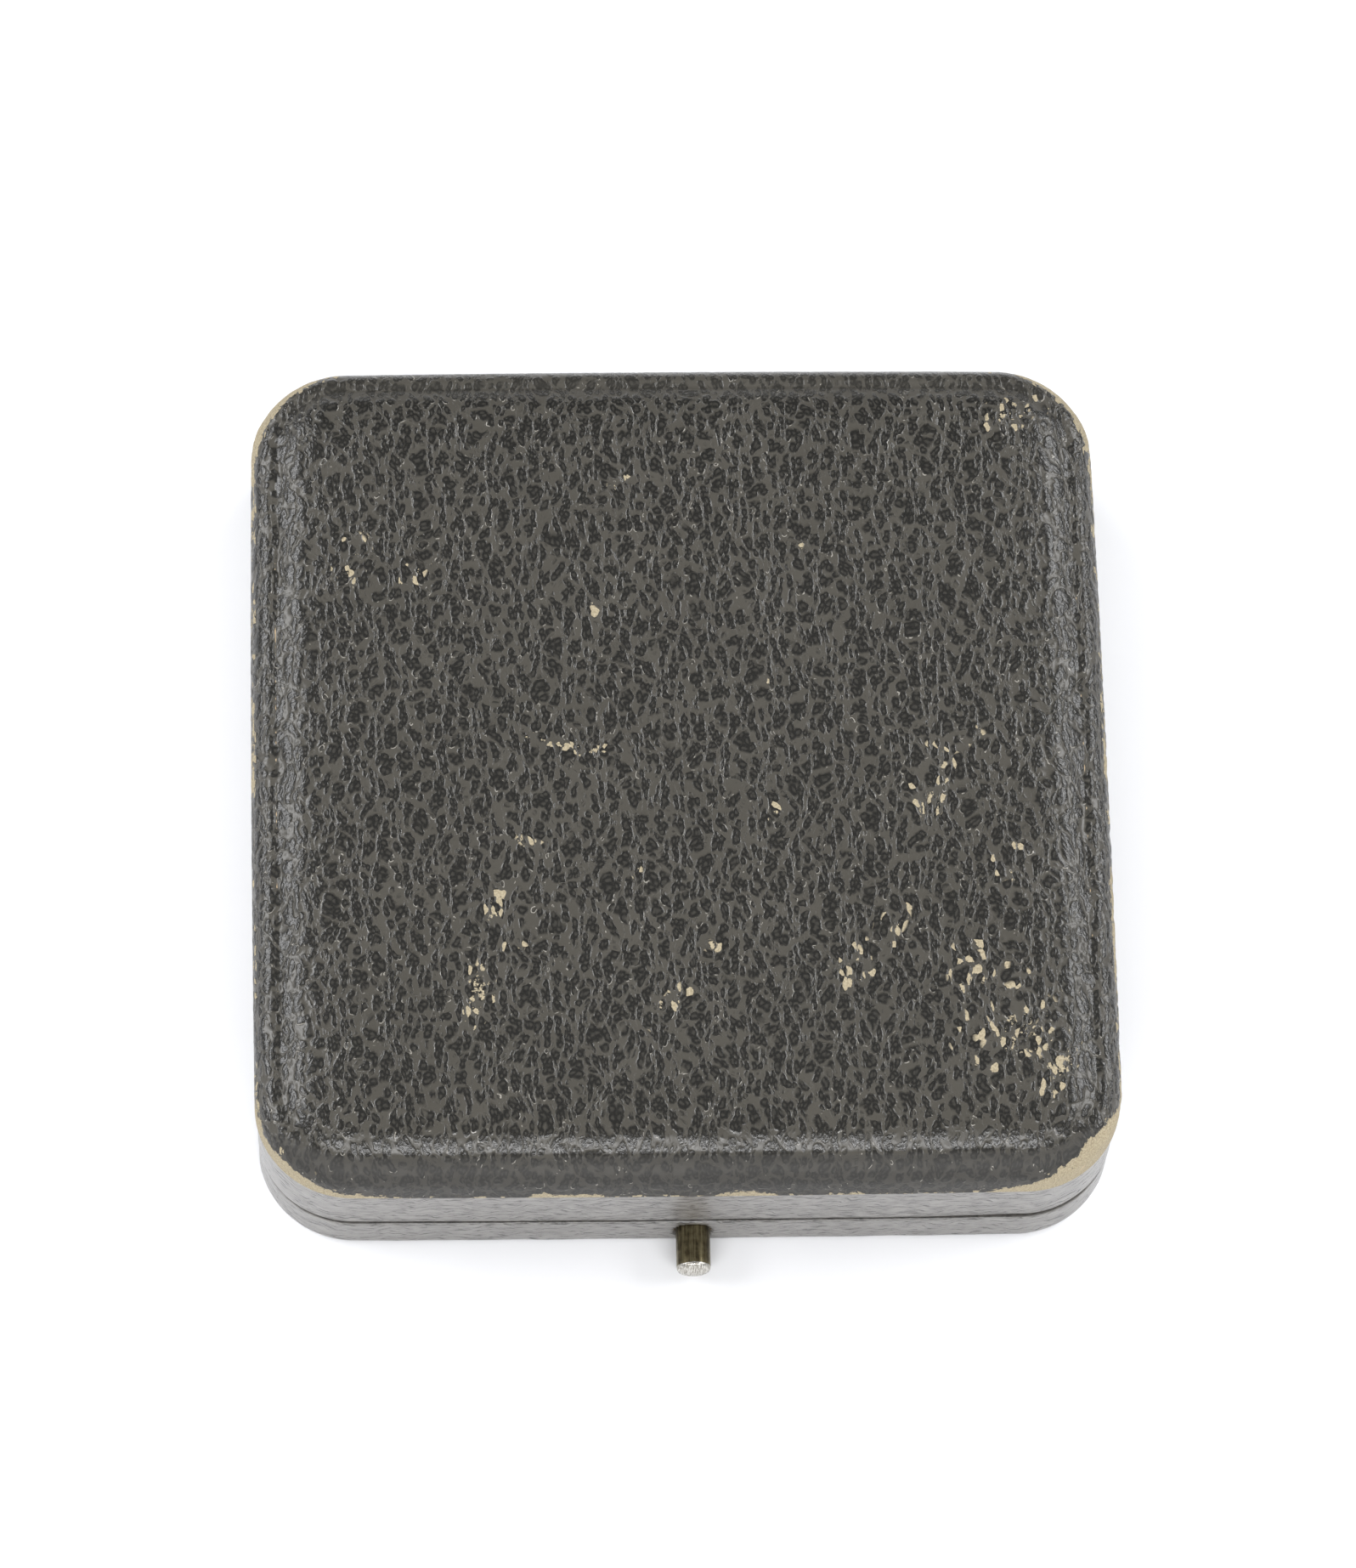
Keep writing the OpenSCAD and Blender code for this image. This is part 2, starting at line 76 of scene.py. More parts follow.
HALF_W = top_high[0]
HALF_D = top_high[1]
CORNER_R = 10.0
STRIP_Z = top_low[2]
RIM_Z = side_low[2]
BASE_Z = base_high[2]
BASE_FOOT = base_low[2]
BASE_W = base_high[0]
BASE_D = base_high[1]
AXIS_Y = (pin_low[1] + pin_high[1]) / 2
AXIS_Z = (pin_low[2] + pin_high[2]) / 2
HINGE_X = (pin_low[0] + pin_high[0]) / 2
HINGE_HALF = (pin_high[0] - pin_low[0]) / 2
BUTTON_X = (button_low[0] + button_high[0]) / 2
BUTTON_Z = (button_low[2] + button_high[2]) / 2
BUTTON_R = (button_high[0] - button_low[0]) / 2

# ------------------------------------------------------------------ small noise in numpy, seeded


def noise2(u, v, seed, size=64):
    """Smooth value noise from 0 to 1 over a plane that repeats every size cells."""
    grid = np.random.default_rng(seed).random((size, size))
    iu, iv = np.floor(u).astype(int), np.floor(v).astype(int)
    fu, fv = u - iu, v - iv
    fu, fv = fu * fu * (3 - 2 * fu), fv * fv * (3 - 2 * fv)
    a, b = grid[iu % size, iv % size], grid[(iu + 1) % size, iv % size]
    c, d = grid[iu % size, (iv + 1) % size], grid[(iu + 1) % size, (iv + 1) % size]
    return (a * (1 - fu) + b * fu) * (1 - fv) + (c * (1 - fu) + d * fu) * fv


def fractal2(u, v, seed, octaves=3):
    total, weight = 0.0, 0.0
    for k in range(octaves):
        w = 0.5**k
        total = total + w * noise2(u * 2**k, v * 2**k, seed + k)
        weight += w
    return total / weight


def smooth(a, b, v):
    t = np.clip((v - a) / (b - a), 0, 1)
    return t * t * (3 - 2 * t)


# ------------------------------------------------------------------ mesh helpers


def make_object(name, verts, faces, body, material):
    mesh = bpy.data.meshes.new(name)
    mesh.from_pydata([tuple(v) for v in np.asarray(verts) * MM], [], faces)
    mesh.validate()
    mesh.update()
    mesh.polygons.foreach_set("use_smooth", [True] * len(mesh.polygons))
    ob = bpy.data.objects.new(name, mesh)
    bpy.context.scene.collection.objects.link(ob)
    ob.data.materials.append(material)
    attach(ob, body)
    return ob


def tidied(ob):
    """Merges points that lie on each other, and turns all faces outward."""
    clean = bmesh.new()
    clean.from_mesh(ob.data)
    bmesh.ops.remove_doubles(clean, verts=clean.verts, dist=1e-6)
    bmesh.ops.dissolve_degenerate(clean, edges=clean.edges, dist=1e-6)
    bmesh.ops.recalc_face_normals(clean, faces=clean.faces)
    clean.to_mesh(ob.data)
    clean.free()


def attribute(ob, name, values, kind="FLOAT"):
    att = ob.data.attributes.new(name, kind, "POINT")
    field = "vector" if kind == "FLOAT_VECTOR" else "value"
    att.data.foreach_set(field, np.asarray(values, dtype=np.float32).ravel())


def rounded_point(t, half_w, half_d, r):
    """Points on a rounded rectangle. t runs 0 to 8, with the middles of the corners at 1, 3, 5 and 7
    and the middles of the sides at 0, 2, 4 and 6."""
    t = np.asarray(t, dtype=float) % 8
    quarter = np.floor((t + 1) / 2).astype(int) % 4          # 0 right, 1 back, 2 left, 3 front
    along = (t + 1) % 2 - 1                                    # -1 to 1 between two corner middles
    straight = np.where(quarter % 2 == 0, half_d, half_w) - r
    arc = r * math.pi / 4
    s = along * (straight + arc)
    on_side = np.clip(s, -straight, straight)
    turn = np.where(np.abs(s) > straight, (np.abs(s) - straight) / max(r, 1e-6), 0.0) * np.sign(s)
    out = np.where(quarter % 2 == 0, half_w, half_d) - r
    px = out + r * np.cos(turn)
    py = on_side + r * np.sin(turn)
    angle = quarter * math.pi / 2
    return px * np.cos(angle) - py * np.sin(angle), px * np.sin(angle) + py * np.cos(angle)


def bulged(x, y, bulge):
    """Draws the corners in so that the four sides bulge a little."""
    return (x * (1 - bulge / HALF_W * (y / HALF_D) ** 2), y * (1 - bulge / HALF_D * (x / HALF_W) ** 2))


def band(near, far, count):
    """Faces between two rings of count points that start at the points near and far."""
    return [(near + k, near + (k + 1) % count, far + (k + 1) % count, far + k) for k in range(count)]


def sweep(section, count, half_w, half_d, radius, bulge):
    """Verts and faces of a closed section led around the case. section is a list of (inset, z)."""
    t = np.arange(count) * 8 / count
    verts, faces = [], []
    for inset, z in section:
        x, y = rounded_point(t, half_w - inset, half_d - inset, radius - inset)
        x, y = bulged(x, y, bulge)
        verts.append(np.stack([x, y, np.full(count, z)], 1))
    rings = len(section)
    for i in range(rings):
        j = (i + 1) % rings
        for k in range(count):
            m = (k + 1) % count
            faces.append((i * count + k, j * count + k, j * count + m, i * count + m))
    return np.concatenate(verts), faces


def resample(points, step):
    """Points along a polyline smoothed by a Catmull-Rom spline, about step apart."""
    p = np.asarray(points, dtype=float)
    p = np.vstack([2 * p[0] - p[1], p, 2 * p[-1] - p[-2]])
    fine = []
    for a, b, c, d in zip(p, p[1:], p[2:], p[3:]):
        for t in np.linspace(0, 1, 24, endpoint=False):
            bend = (2 * a - 5 * b + 4 * c - d) * t**2 + (3 * b - a - 3 * c + d) * t**3
            fine.append(0.5 * (2 * b + (c - a) * t + bend))
    fine.append(p[-2])
    fine = np.array(fine)
    length = np.concatenate([[0], np.cumsum(np.linalg.norm(np.diff(fine, axis=0), axis=1))])
    n = max(2, int(round(length[-1] / step)))
    s = np.linspace(0, length[-1], n + 1)
    return np.stack([np.interp(s, length, fine[:, 0]), np.interp(s, length, fine[:, 1])], 1)


def straight_path(corners, step):
    """Points along straight runs between corners, about step apart, corners kept."""
    out = []
    for (a, b), (c, d) in zip(corners, corners[1:]):
        n = max(1, int(round(math.hypot(c - a, d - b) / step)))
        out += [(a + (c - a) * i / n, b + (d - b) * i / n) for i in range(n)]
    return out + [corners[-1]]


# ------------------------------------------------------------------ node helper, for shader and geometry trees


class Nodes:
    def __init__(self, tree):
        self.tree = tree
        self.column = 0

    def node(self, kind, **settings):
        n = self.tree.nodes.new(kind)
        for key, value in settings.items():
            setattr(n, key, value)
        self.column += 1
        n.location = (180 * (self.column % 12), -260 * (self.column // 12))
        return n

    def put(self, socket, value):
        if isinstance(value, bpy.types.NodeSocket):
            self.tree.links.new(value, socket)
        elif value is not None:
            socket.default_value = value

    def math(self, op, a, b=None, c=None):
        n = self.node("ShaderNodeMath", operation=op)
        for socket, value in zip(n.inputs, (a, b, c)):
            self.put(socket, value)
        return n.outputs[0]

    def plus(self, a, b):
        return self.math("ADD", a, b)

    def minus(self, a, b):
        return self.math("SUBTRACT", a, b)

    def times(self, a, b):
        return self.math("MULTIPLY", a, b)

    def vector(self, op, a, b=None, scale=None):
        n = self.node("ShaderNodeVectorMath", operation=op)
        self.put(n.inputs[0], a)
        self.put(n.inputs[1], b)
        if scale is not None:
            self.put(n.inputs["Scale"], scale)
        return n.outputs["Value"] if op in ("LENGTH", "DOT_PRODUCT", "DISTANCE") else n.outputs[0]

    def step(self, v, low, high, to_low=0.0, to_high=1.0, kind="SMOOTHSTEP"):
        n = self.node("ShaderNodeMapRange", interpolation_type=kind, clamp=True)
        for socket, value in zip(n.inputs, (v, low, high, to_low, to_high)):
            self.put(socket, value)
        return n.outputs[0]

    def mix(self, f, a, b):
        n = self.node("ShaderNodeMix", data_type="FLOAT")
        for socket, value in zip([s for s in n.inputs if s.enabled], (f, a, b)):
            self.put(socket, value)
        return [s for s in n.outputs if s.enabled][0]

    def mix_colour(self, f, a, b):
        n = self.node("ShaderNodeMix", data_type="RGBA")
        for socket, value in zip([s for s in n.inputs if s.enabled], (f, a, b)):
            self.put(socket, (*value, 1) if isinstance(value, tuple) and len(value) == 3 else value)
        return [s for s in n.outputs if s.enabled][0]

    def noise(self, vec, scale, detail=2.0, rough=0.5):
        n = self.node("ShaderNodeTexNoise", noise_dimensions="3D")
        self.put(n.inputs["Vector"], vec)
        self.put(n.inputs["Scale"], scale)
        self.put(n.inputs["Detail"], detail)
        self.put(n.inputs["Roughness"], rough)
        return n.outputs[0], n.outputs[1]

    def cells(self, vec, scale, feature, randomness, smoothness=None):
        n = self.node("ShaderNodeTexVoronoi", feature=feature, voronoi_dimensions="2D")
        self.put(n.inputs["Vector"], vec)
        self.put(n.inputs["Scale"], scale)
        self.put(n.inputs["Randomness"], randomness)
        if smoothness is not None:
            self.put(n.inputs["Smoothness"], smoothness)
        return n

    def split(self, vec):
        n = self.node("ShaderNodeSeparateXYZ")
        self.put(n.inputs[0], vec)
        return n.outputs

    def join(self, x, y, z):
        n = self.node("ShaderNodeCombineXYZ")
        for socket, value in zip(n.inputs, (x, y, z)):
            self.put(socket, value)
        return n.outputs[0]


def material(name):
    mat = bpy.data.materials.new(name)
    mat.use_nodes = True
    tree = mat.node_tree
    tree.nodes.clear()
    g = Nodes(tree)
    shader = g.node("ShaderNodeBsdfPrincipled")
    out = g.node("ShaderNodeOutputMaterial")
    tree.links.new(shader.outputs[0], out.inputs["Surface"])
    return mat, g, shader


def place_mm(g):
    """The object's own coordinates in mm."""
    coords = g.node("ShaderNodeTexCoord")
    return g.vector("SCALE", coords.outputs["Object"], scale=1 / MM)


def named(g, name, kind="Fac"):
    n = g.node("ShaderNodeAttribute", attribute_name=name)
    return n.outputs[kind]


def dress(g, shader, colour, rough, relief_mm):
    """Leads a colour, a roughness and a height in mm to the shader."""
    g.put(shader.inputs["Base Color"], colour)
    g.put(shader.inputs["Roughness"], rough)
    bump = g.node("ShaderNodeBump")
    bump.inputs["Strength"].default_value = 1.0
    bump.inputs["Distance"].default_value = MM
    g.put(bump.inputs["Height"], relief_mm)
    g.put(shader.inputs["Normal"], bump.outputs[0])


# ------------------------------------------------------------------ leatherette of the lid's top

CELL = 1.52            # mm between pebbles, side to side
STRETCH = 0.44         # the pebbles run longer from front to back
LOBE = 0.60            # mm between the round lobes that the pebbles are made of
LOBE_STRETCH = 0.60
PEBBLE_MM = 0.075      # height of a pebble


def slanted(g, p):
    """The stretched plane in which the clusters lie, turned by an eighth so that its rows run slantwise."""
    turn = math.sqrt(0.5)
    return g.join(g.vector("DOT_PRODUCT", p, (turn, turn * STRETCH, 0.0)),
                  g.vector("DOT_PRODUCT", p, (-turn, turn * STRETCH, 0.0)), 0.0)


def pebbles(g, p):
    """The pebbled grain: lobes in clusters, with smooth veins between that run slantwise. p is a place in mm
    on the leather laid out flat. Returns how far a place is inside a pebble, the dark cap from 0 to 1, the
    distance from the middle of the nearest lobe, the scuffed rims with painted glints from 0 to 1 and a random
    number for the lobe."""
    half = (0.5, 0.5, 0.5)
    _, wide = g.noise(g.vector("MULTIPLY", p, (1.0, 0.6, 1.0)), 0.30, 1.0)
    _, close = g.noise(p, 1.1, 1.0, 0.5)
    drift = g.vector("SCALE", g.vector("SUBTRACT", wide, half), scale=2.3)
    jitter = g.vector("SCALE", g.vector("SUBTRACT", close, half), scale=0.50)
    q = g.vector("ADD", p, g.vector("ADD", drift, jitter))
    lobes = g.cells(g.vector("MULTIPLY", q, (1.0, LOBE_STRETCH, 1.0)), 1 / LOBE, "SMOOTH_F1", 0.9, 0.35)
    lobe = lobes.outputs["Distance"]
    luck = g.split(lobes.outputs["Color"])
    # a lobe is as large as its middle is deep inside the pebble that it belongs to
    middle = g.vector("MULTIPLY", lobes.outputs["Position"], (1.0, 1 / LOBE_STRETCH, 1.0))
    depth = g.cells(slanted(g, middle), 1 / CELL, "DISTANCE_TO_EDGE", 0.95).outputs["Distance"]
    depth = g.plus(depth, g.step(luck[0], 0.0, 1.0, -0.035, 0.045, "LINEAR"))
    size = g.step(depth, 0.0, 0.12, 0.0, 0.60, "LINEAR")
    edge = g.cells(slanted(g, q), 1 / CELL, "DISTANCE_TO_EDGE", 0.95).outputs["Distance"]
    room, _ = g.noise(p, 0.8, 1.0)
    edge = g.minus(edge, g.step(room, 0.35, 0.65, 0.020, 0.095, "LINEAR"))
    swell = g.minus(size, lobe)
    rise = g.math("SMOOTH_MIN", swell, g.times(edge, 1.9), 0.14)
    cap = g.step(rise, -0.15, 0.10)
    # pale rims on a few lobes: partly scuffs, partly a painted glint on the flank
    scuff_and_glint = g.times(g.step(luck[1], 0.86, 0.90),
                   g.step(g.math("ABSOLUTE", g.plus(swell, 0.03)), 0.02, 0.07, 1.0, 0.0))
    return rise, cap, lobe, scuff_and_glint, luck[2]


def top_leather():
    mat, g, shader = material("top_leatherette")
    p = named(g, "grain_place", "Vector")
    flat = named(g, "drawn_flat")
    worn = named(g, "worn")
    rise, cap, lobe, scuff_and_glint, fate = pebbles(g, p)
    height = g.times(g.step(rise, -0.50, 0.30), g.minus(1.0, flat))

    # mottled caps: a dark ring around the paler middle of each lobe
    mottle, _ = g.noise(p, 3.4, 3.0, 0.65)
    broad, _ = g.noise(p, 0.09, 2.0)
    ring = g.step(g.math("ABSOLUTE", g.minus(lobe, 0.36)), 0.03, 0.30, 0.36, 0.0)
    tone = g.plus(ring, g.times(mottle, 1.05))
    cap_colour = g.mix_colour(g.step(tone, 0.38, 1.0), (0.041, 0.0385, 0.0325), (0.0064, 0.0060, 0.0048))
    valley = g.mix_colour(g.step(broad, 0.35, 0.65), (0.0650, 0.0600, 0.0490), (0.0570, 0.0525, 0.0425))
    speck, _ = g.noise(p, 9.0, 2.0)
    valley = g.mix_colour(g.step(speck, 0.3, 0.75, 0.0, 0.35), valley, (0.052, 0.0475, 0.0410))
    cap_show = g.times(cap, g.minus(1.0, g.times(flat, 0.35)))
    colour = g.mix_colour(cap_show, valley, cap_colour)
    dulled_and_painted_shade = named(g, "dulled_and_painted_shade")
    # painted shade: the front roundover, which turns away from the light, is darkened in colour here; the same mask
    # also makes it rougher, dulled by handling
    colour = g.mix_colour(g.times(dulled_and_painted_shade, 0.45), colour, (0.022, 0.0205, 0.0180))
    nick, _ = g.noise(p, 2.2, 0.0)
    scuff_and_glint = g.times(scuff_and_glint, g.step(nick, 0.50, 0.58))
    # painted highlight: pale glints on the flanks of a few lobes, partly real scuffs
    colour = g.mix_colour(g.times(scuff_and_glint, 0.8), colour, (0.36, 0.34, 0.30))

    # bare, buff paper where the surface is rubbed away
    rub, _ = g.noise(p, 1.15, 3.0, 0.62)
    fine, _ = g.noise(p, 4.5, 2.0, 0.6)
    threat = g.plus(worn, g.times(g.minus(rub, 0.5), 0.9))
    threat = g.plus(threat, g.times(g.minus(fine, 0.5), 0.25))
    threat = g.plus(threat, g.times(g.minus(height, 0.5), 0.12))
    # single lobes lose their surface before the ground between them does
    lost = g.step(g.plus(worn, g.minus(fate, 0.5)), 0.74, 0.78)
    ragged = g.plus(rise, g.times(g.minus(fine, 0.5), 0.3))
    lost = g.times(lost, g.step(ragged, -0.03, 0.03))
    bare = g.math("MAXIMUM", g.step(threat, 0.70, 0.74), lost)
    buff = g.mix_colour(g.step(fine, 0.3, 0.7), (0.27, 0.225, 0.145), (0.42, 0.36, 0.245))
    colour = g.mix_colour(bare, colour, buff)

    rough = g.mix(cap, 0.32, g.step(mottle, 0.35, 0.7, 0.15, 0.38))
    rough = g.mix(dulled_and_painted_shade, rough, 0.62)
    rough = g.mix(bare, rough, 0.85)
    shader.inputs["Specular IOR Level"].default_value = 0.5

    fold, _ = g.noise(p, 5.0, 2.0, 0.6)
    relief = g.times(height, g.times(named(g, "grain_on"), PEBBLE_MM * 0.35))
    dent = g.step(lobe, 0.05, 0.35, 0.0, 1.0)
    relief = g.plus(relief, g.times(g.times(dent, cap), 0.020))
    relief = g.plus(relief, g.times(g.times(fold, cap), 0.030))
    grit, _ = g.noise(p, 15.0, 2.0, 0.6)
    relief = g.plus(relief, g.times(grit, 0.003))
    relief = g.plus(relief, g.times(bare, -0.03))
    dress(g, shader, colour, rough, relief)
    return mat


def raise_pebbles(ob):
    """Lifts the mesh along its normals by the same grain, as a geometry node modifier, then applies it."""
    tree = bpy.data.node_groups.new("raise_pebbles", "GeometryNodeTree")
    tree.interface.new_socket("Geometry", in_out="INPUT", socket_type="NodeSocketGeometry")
    tree.interface.new_socket("Geometry", in_out="OUTPUT", socket_type="NodeSocketGeometry")
    g = Nodes(tree)
    source = g.node("NodeGroupInput")
    sink = g.node("NodeGroupOutput")

    def field(name, kind):
        n = g.node("GeometryNodeInputNamedAttribute", data_type=kind)
        n.inputs["Name"].default_value = name
        return [s for s in n.outputs if s.enabled and s.name == "Attribute"][0]

    rise = pebbles(g, field("grain_place", "FLOAT_VECTOR"))[0]
    height = g.times(g.step(rise, -0.55, 0.35), g.minus(1.0, field("drawn_flat", "FLOAT")))
    lift = g.times(g.minus(height, 0.8), PEBBLE_MM * MM)
    lift = g.times(lift, field("grain_on", "FLOAT"))
    normal = g.node("GeometryNodeInputNormal")
    move = g.node("GeometryNodeSetPosition")
    g.put(move.inputs["Geometry"], source.outputs[0])
    g.put(move.inputs["Offset"], g.vector("SCALE", normal.outputs[0], scale=lift))
    g.put(sink.inputs[0], move.outputs[0])
    mod = ob.modifiers.new("raise_pebbles", "NODES")
    mod.node_group = tree
    bpy.context.view_layer.objects.active = ob
    ob.select_set(True)
    bpy.ops.object.modifier_apply(modifier=mod.name)
    ob.select_set(False)
    bpy.data.node_groups.remove(tree)


LID_BULGE = 0.27
BASE_BULGE = 0.22

# half section of the lid's top, as (distance in from the edge, height above the edge)
EDGE_Z = STRIP_Z + 2.3
CROWN = [
    (0.0, 0.0), (0.08, 0.72), (0.36, 1.42), (0.80, 2.04), (1.32, 2.46), (1.90, 2.70), (2.35, 2.72), (2.70, 2.64),
    (3.02, 2.78), (3.50, 3.06), (4.10, 3.39), (4.70, 3.66), (5.40, 3.87), (6.6, 4.05), (9.0, 4.25), (14.0, 4.46),
    (22.0, 4.61),
]
CROWN = [(inset, EDGE_Z + height) for inset, height in CROWN]


UNDER = 0.45           # mm from the leather's face to its back


def crown_at(inset, lower):
    """A height lower mm below the lid's top, at a distance in from the edge."""
    insets, heights = zip(*CROWN)
    return np.interp(inset, insets, heights) - lower


def cap_mesh(profile, skirt):
    """A domed top made of rounded rings, and a skirt of rings below it. profile is a list of (inset, z) from
    the middle outward, one for each ring, and ring k has 8k points. A fan closes the last skirt ring."""
    n = len(profile)
    verts = [np.array([[0, 0, profile[0][1]]])]
    first = [0]
    offset = 1
    for k in range(1, n + 1):
        inset, z = profile[k - 1]
        half_w, half_d = max(HALF_W - inset, 0.3), max(HALF_D - inset, 0.3)
        radius = min(max(CORNER_R - inset, 0.35 * min(inset, 3.0) * (k / n)), half_w * 0.9)
        count = 8 * k
        x, y = rounded_point(np.arange(count) * 8 / count, half_w, half_d, radius)
        verts.append(np.stack([x, y, np.full(count, z)], 1))
        first.append(offset)
        offset += count
    faces = [(1 + i, 1 + (i + 1) % 8, 0) for i in range(8)]
    for k in range(2, n + 1):
        count, here = 8 * k, first[k]
        inner_n, there = 8 * (k - 1), first[k - 1]
        for side in range(4):
            for i in range(-k, k):
                a = (2 * k * side + i) % count
                b = (2 * k * side + i + 1) % count
                ia, ib = max(min(i, k - 1), 1 - k), max(min(i + 1, k - 1), 1 - k)
                c = (2 * (k - 1) * side + ia) % inner_n
                d = (2 * (k - 1) * side + ib) % inner_n
                if ia == ib:
                    faces.append((here + a, here + b, there + c))
                else:
                    faces.append((here + a, here + b, there + d, there + c))
    count = 8 * n
    t = np.arange(count) * 8 / count
    last = first[n]
    for inset, z in skirt:
        x, y = rounded_point(t, HALF_W - inset, HALF_D - inset, max(CORNER_R - inset, 0.5))
        verts.append(np.stack([x, y, np.full(count, z)], 1))
        faces += band(offset, last, count)
        last = offset
        offset += count
    verts.append(np.array([[0, 0, skirt[-1][1]]]))
    faces += [(offset, last + (k + 1) % count, last + k) for k in range(count)]
    return np.concatenate(verts), faces


def lid_top():
    outer = resample(CROWN, 0.27)
    near = outer[outer[:, 0] < 6.0]
    outer = np.vstack([near, resample(outer[len(near)::4], 0.40)])
    inner_count = 56
    start = outer[-1]
    inner = [(start[0] + (HALF_W - start[0]) * i / inner_count, start[1] + 0.03 * smooth(0, 1, i / inner_count))
             for i in range(1, inner_count)]
    profile = (list(map(tuple, outer)) + inner)[::-1]
    skirt = straight_path([(0.0, EDGE_Z - 0.35), (0.0, STRIP_Z + 0.12)], 0.33)
    skirt += [(0.06, STRIP_Z), (0.36, STRIP_Z), (0.4, STRIP_Z + 0.15), (0.4, EDGE_Z)]
    skirt += [(i, float(crown_at(i, UNDER))) for i in (0.52, 0.88, 1.5, 2.8, 3.65, 4.3, 5.4, 9.0, 20.0, 36.0)]
    return cap_mesh(profile, skirt)


def edge_inset(x, y, half_w, half_d, r):
    """Distance in from a rounded rectangle's outline, and how far past the ends of its straight sides."""
    qx, qy = np.abs(x) - (half_w - r), np.abs(y) - (half_d - r)
    outside = np.hypot(np.maximum(qx, 0), np.maximum(qy, 0))
    inside = np.minimum(np.maximum(qx, qy), 0)
    return r - (outside + inside), qx, qy


# rubbed places on the lid: x, y, half length, half width, turn in degrees, strength
RUBBED = [
    (34.0, -31.0, 6.5, 5.0, 40, 0.60), (38.5, -35.0, 3.6, 1.6, 55, 0.70), (30.0, -24.0, 4.5, 3.4, 60, 0.54),
    (-21.5, -26.0, 6.0, 1.5, 80, 0.66), (-20.0, -17.5, 3.2, 1.3, 70, 0.62), (-2.0, -27.5, 3.4, 1.8, 60, 0.62),
    (2.5, -21.0, 2.2, 1.3, 60, 0.56), (-13.0, 1.5, 5.2, 0.60, -14, 0.66), (-9.0, 0.5, 1.6, 0.8, 0, 0.72),
    (-8.5, 17.5, 1.8, 1.0, 50, 0.58), (-6.0, 31.5, 1.4, 1.1, 0, 0.66), (36.5, 40.0, 4.4, 2.6, 30, 0.62),
    (-34.5, 22.5, 3.6, 2.0, 80, 0.60), (-28.0, 21.0, 2.8, 1.4, 45, 0.54), (26.5, -4.5, 4.8, 2.8, 80, 0.57),
    (28.5, 1.0, 3.8, 1.9, 20, 0.54), (9.5, -6.5, 2.6, 1.5, 60, 0.55), (8.0, 7.5, 2.5, 1.2, 60, 0.50),
    (22.0, -19.0, 4.0, 2.0, 70, 0.55), (-6.0, -12.5, 2.6, 1.2, -20, 0.54), (-17.5, -21.5, 1.6, 1.2, 0, 0.58),
    (2.0, 40.5, 1.8, 1.0, 0, 0.58), (17.0, 16.0, 2.6, 1.2, 40, 0.48), (17.5, -24.5, 4.2, 2.0, 80, 0.54),
    (-16.0, -9.0, 2.4, 1.4, 30, 0.50), (13.0, 24.0, 2.0, 1.2, 70, 0.46), (33.5, -12.0, 3.2, 2.0, 60, 0.50),
]


def wear_field(x, y, z):
    """How rubbed a place on the lid's top is, from 0 to about 1."""
    inset, qx, qy = edge_inset(x, y, HALF_W, HALF_D, CORNER_R)
    along = np.arctan2(y, x)
    uneven = fractal2(along * 9 + 40, inset * 0.15 + 3, 11, 4)
    corner = np.clip(np.minimum(qx, qy) / CORNER_R + 0.45, 0, 1)
    weight = np.where(x > 0, np.where(y < 0, 1.75, 0.62), np.where(y < 0, 0.90, 0.66))
    height = np.maximum(z - STRIP_Z, 0) + np.maximum(inset - 0.3, 0) * 1.2
    reach = corner * weight * (1.1 + 5.0 * uneven) + np.maximum(uneven - 0.50, 0) * 5.0 - 0.1
    worn = smooth(reach + 1.6, reach - 0.6, height) * 0.93
    # over the rounded edge at the back corners, and in flecks along the left and right sides
    back_corner = corner * np.where(y > 0, 1.0, 0.35)
    worn = np.maximum(worn, back_corner * np.exp(-(((inset - 0.45) / 0.85) ** 2)) * (0.70 + 1.1 * uneven))
    beside = smooth(HALF_W - 1.5, HALF_W - 0.5, np.abs(x))
    worn = np.maximum(worn, beside * np.exp(-(((inset - 0.20) / 0.40) ** 2)) * (0.25 + 0.75 * uneven))
    for px, py, a, b, turn, strength in RUBBED:
        c, s = math.cos(math.radians(turn)), math.sin(math.radians(turn))
        u, v = (x - px) * c + (y - py) * s, -(x - px) * s + (y - py) * c
        worn = np.maximum(worn, strength * np.exp(-((u / a) ** 2 + (v / b) ** 2) * 0.55))
    return worn


def unrolled(x, y, z, inset):
    """Where a place on the lid's top lies once the leather is laid out flat, in plan mm."""
    insets, heights = (np.array(c) for c in zip(*CROWN))
    steps = np.hypot(np.diff(insets), np.diff(heights)) - np.diff(insets)
    spare = np.concatenate([np.cumsum(steps[::-1])[::-1], [0.0]])
    extra = np.interp(inset, insets, spare) + np.maximum(EDGE_Z - z, 0)
    out_x = x - np.clip(x, CORNER_R - HALF_W, HALF_W - CORNER_R)
    out_y = y - np.clip(y, CORNER_R - HALF_D, HALF_D - CORNER_R)
    reach = np.maximum(np.hypot(out_x, out_y), 1e-6)
    extra = np.where(inset < CORNER_R - 1, extra, 0)
    return np.stack([x + out_x / reach * extra, y + out_y / reach * extra, np.zeros_like(x)], 1)


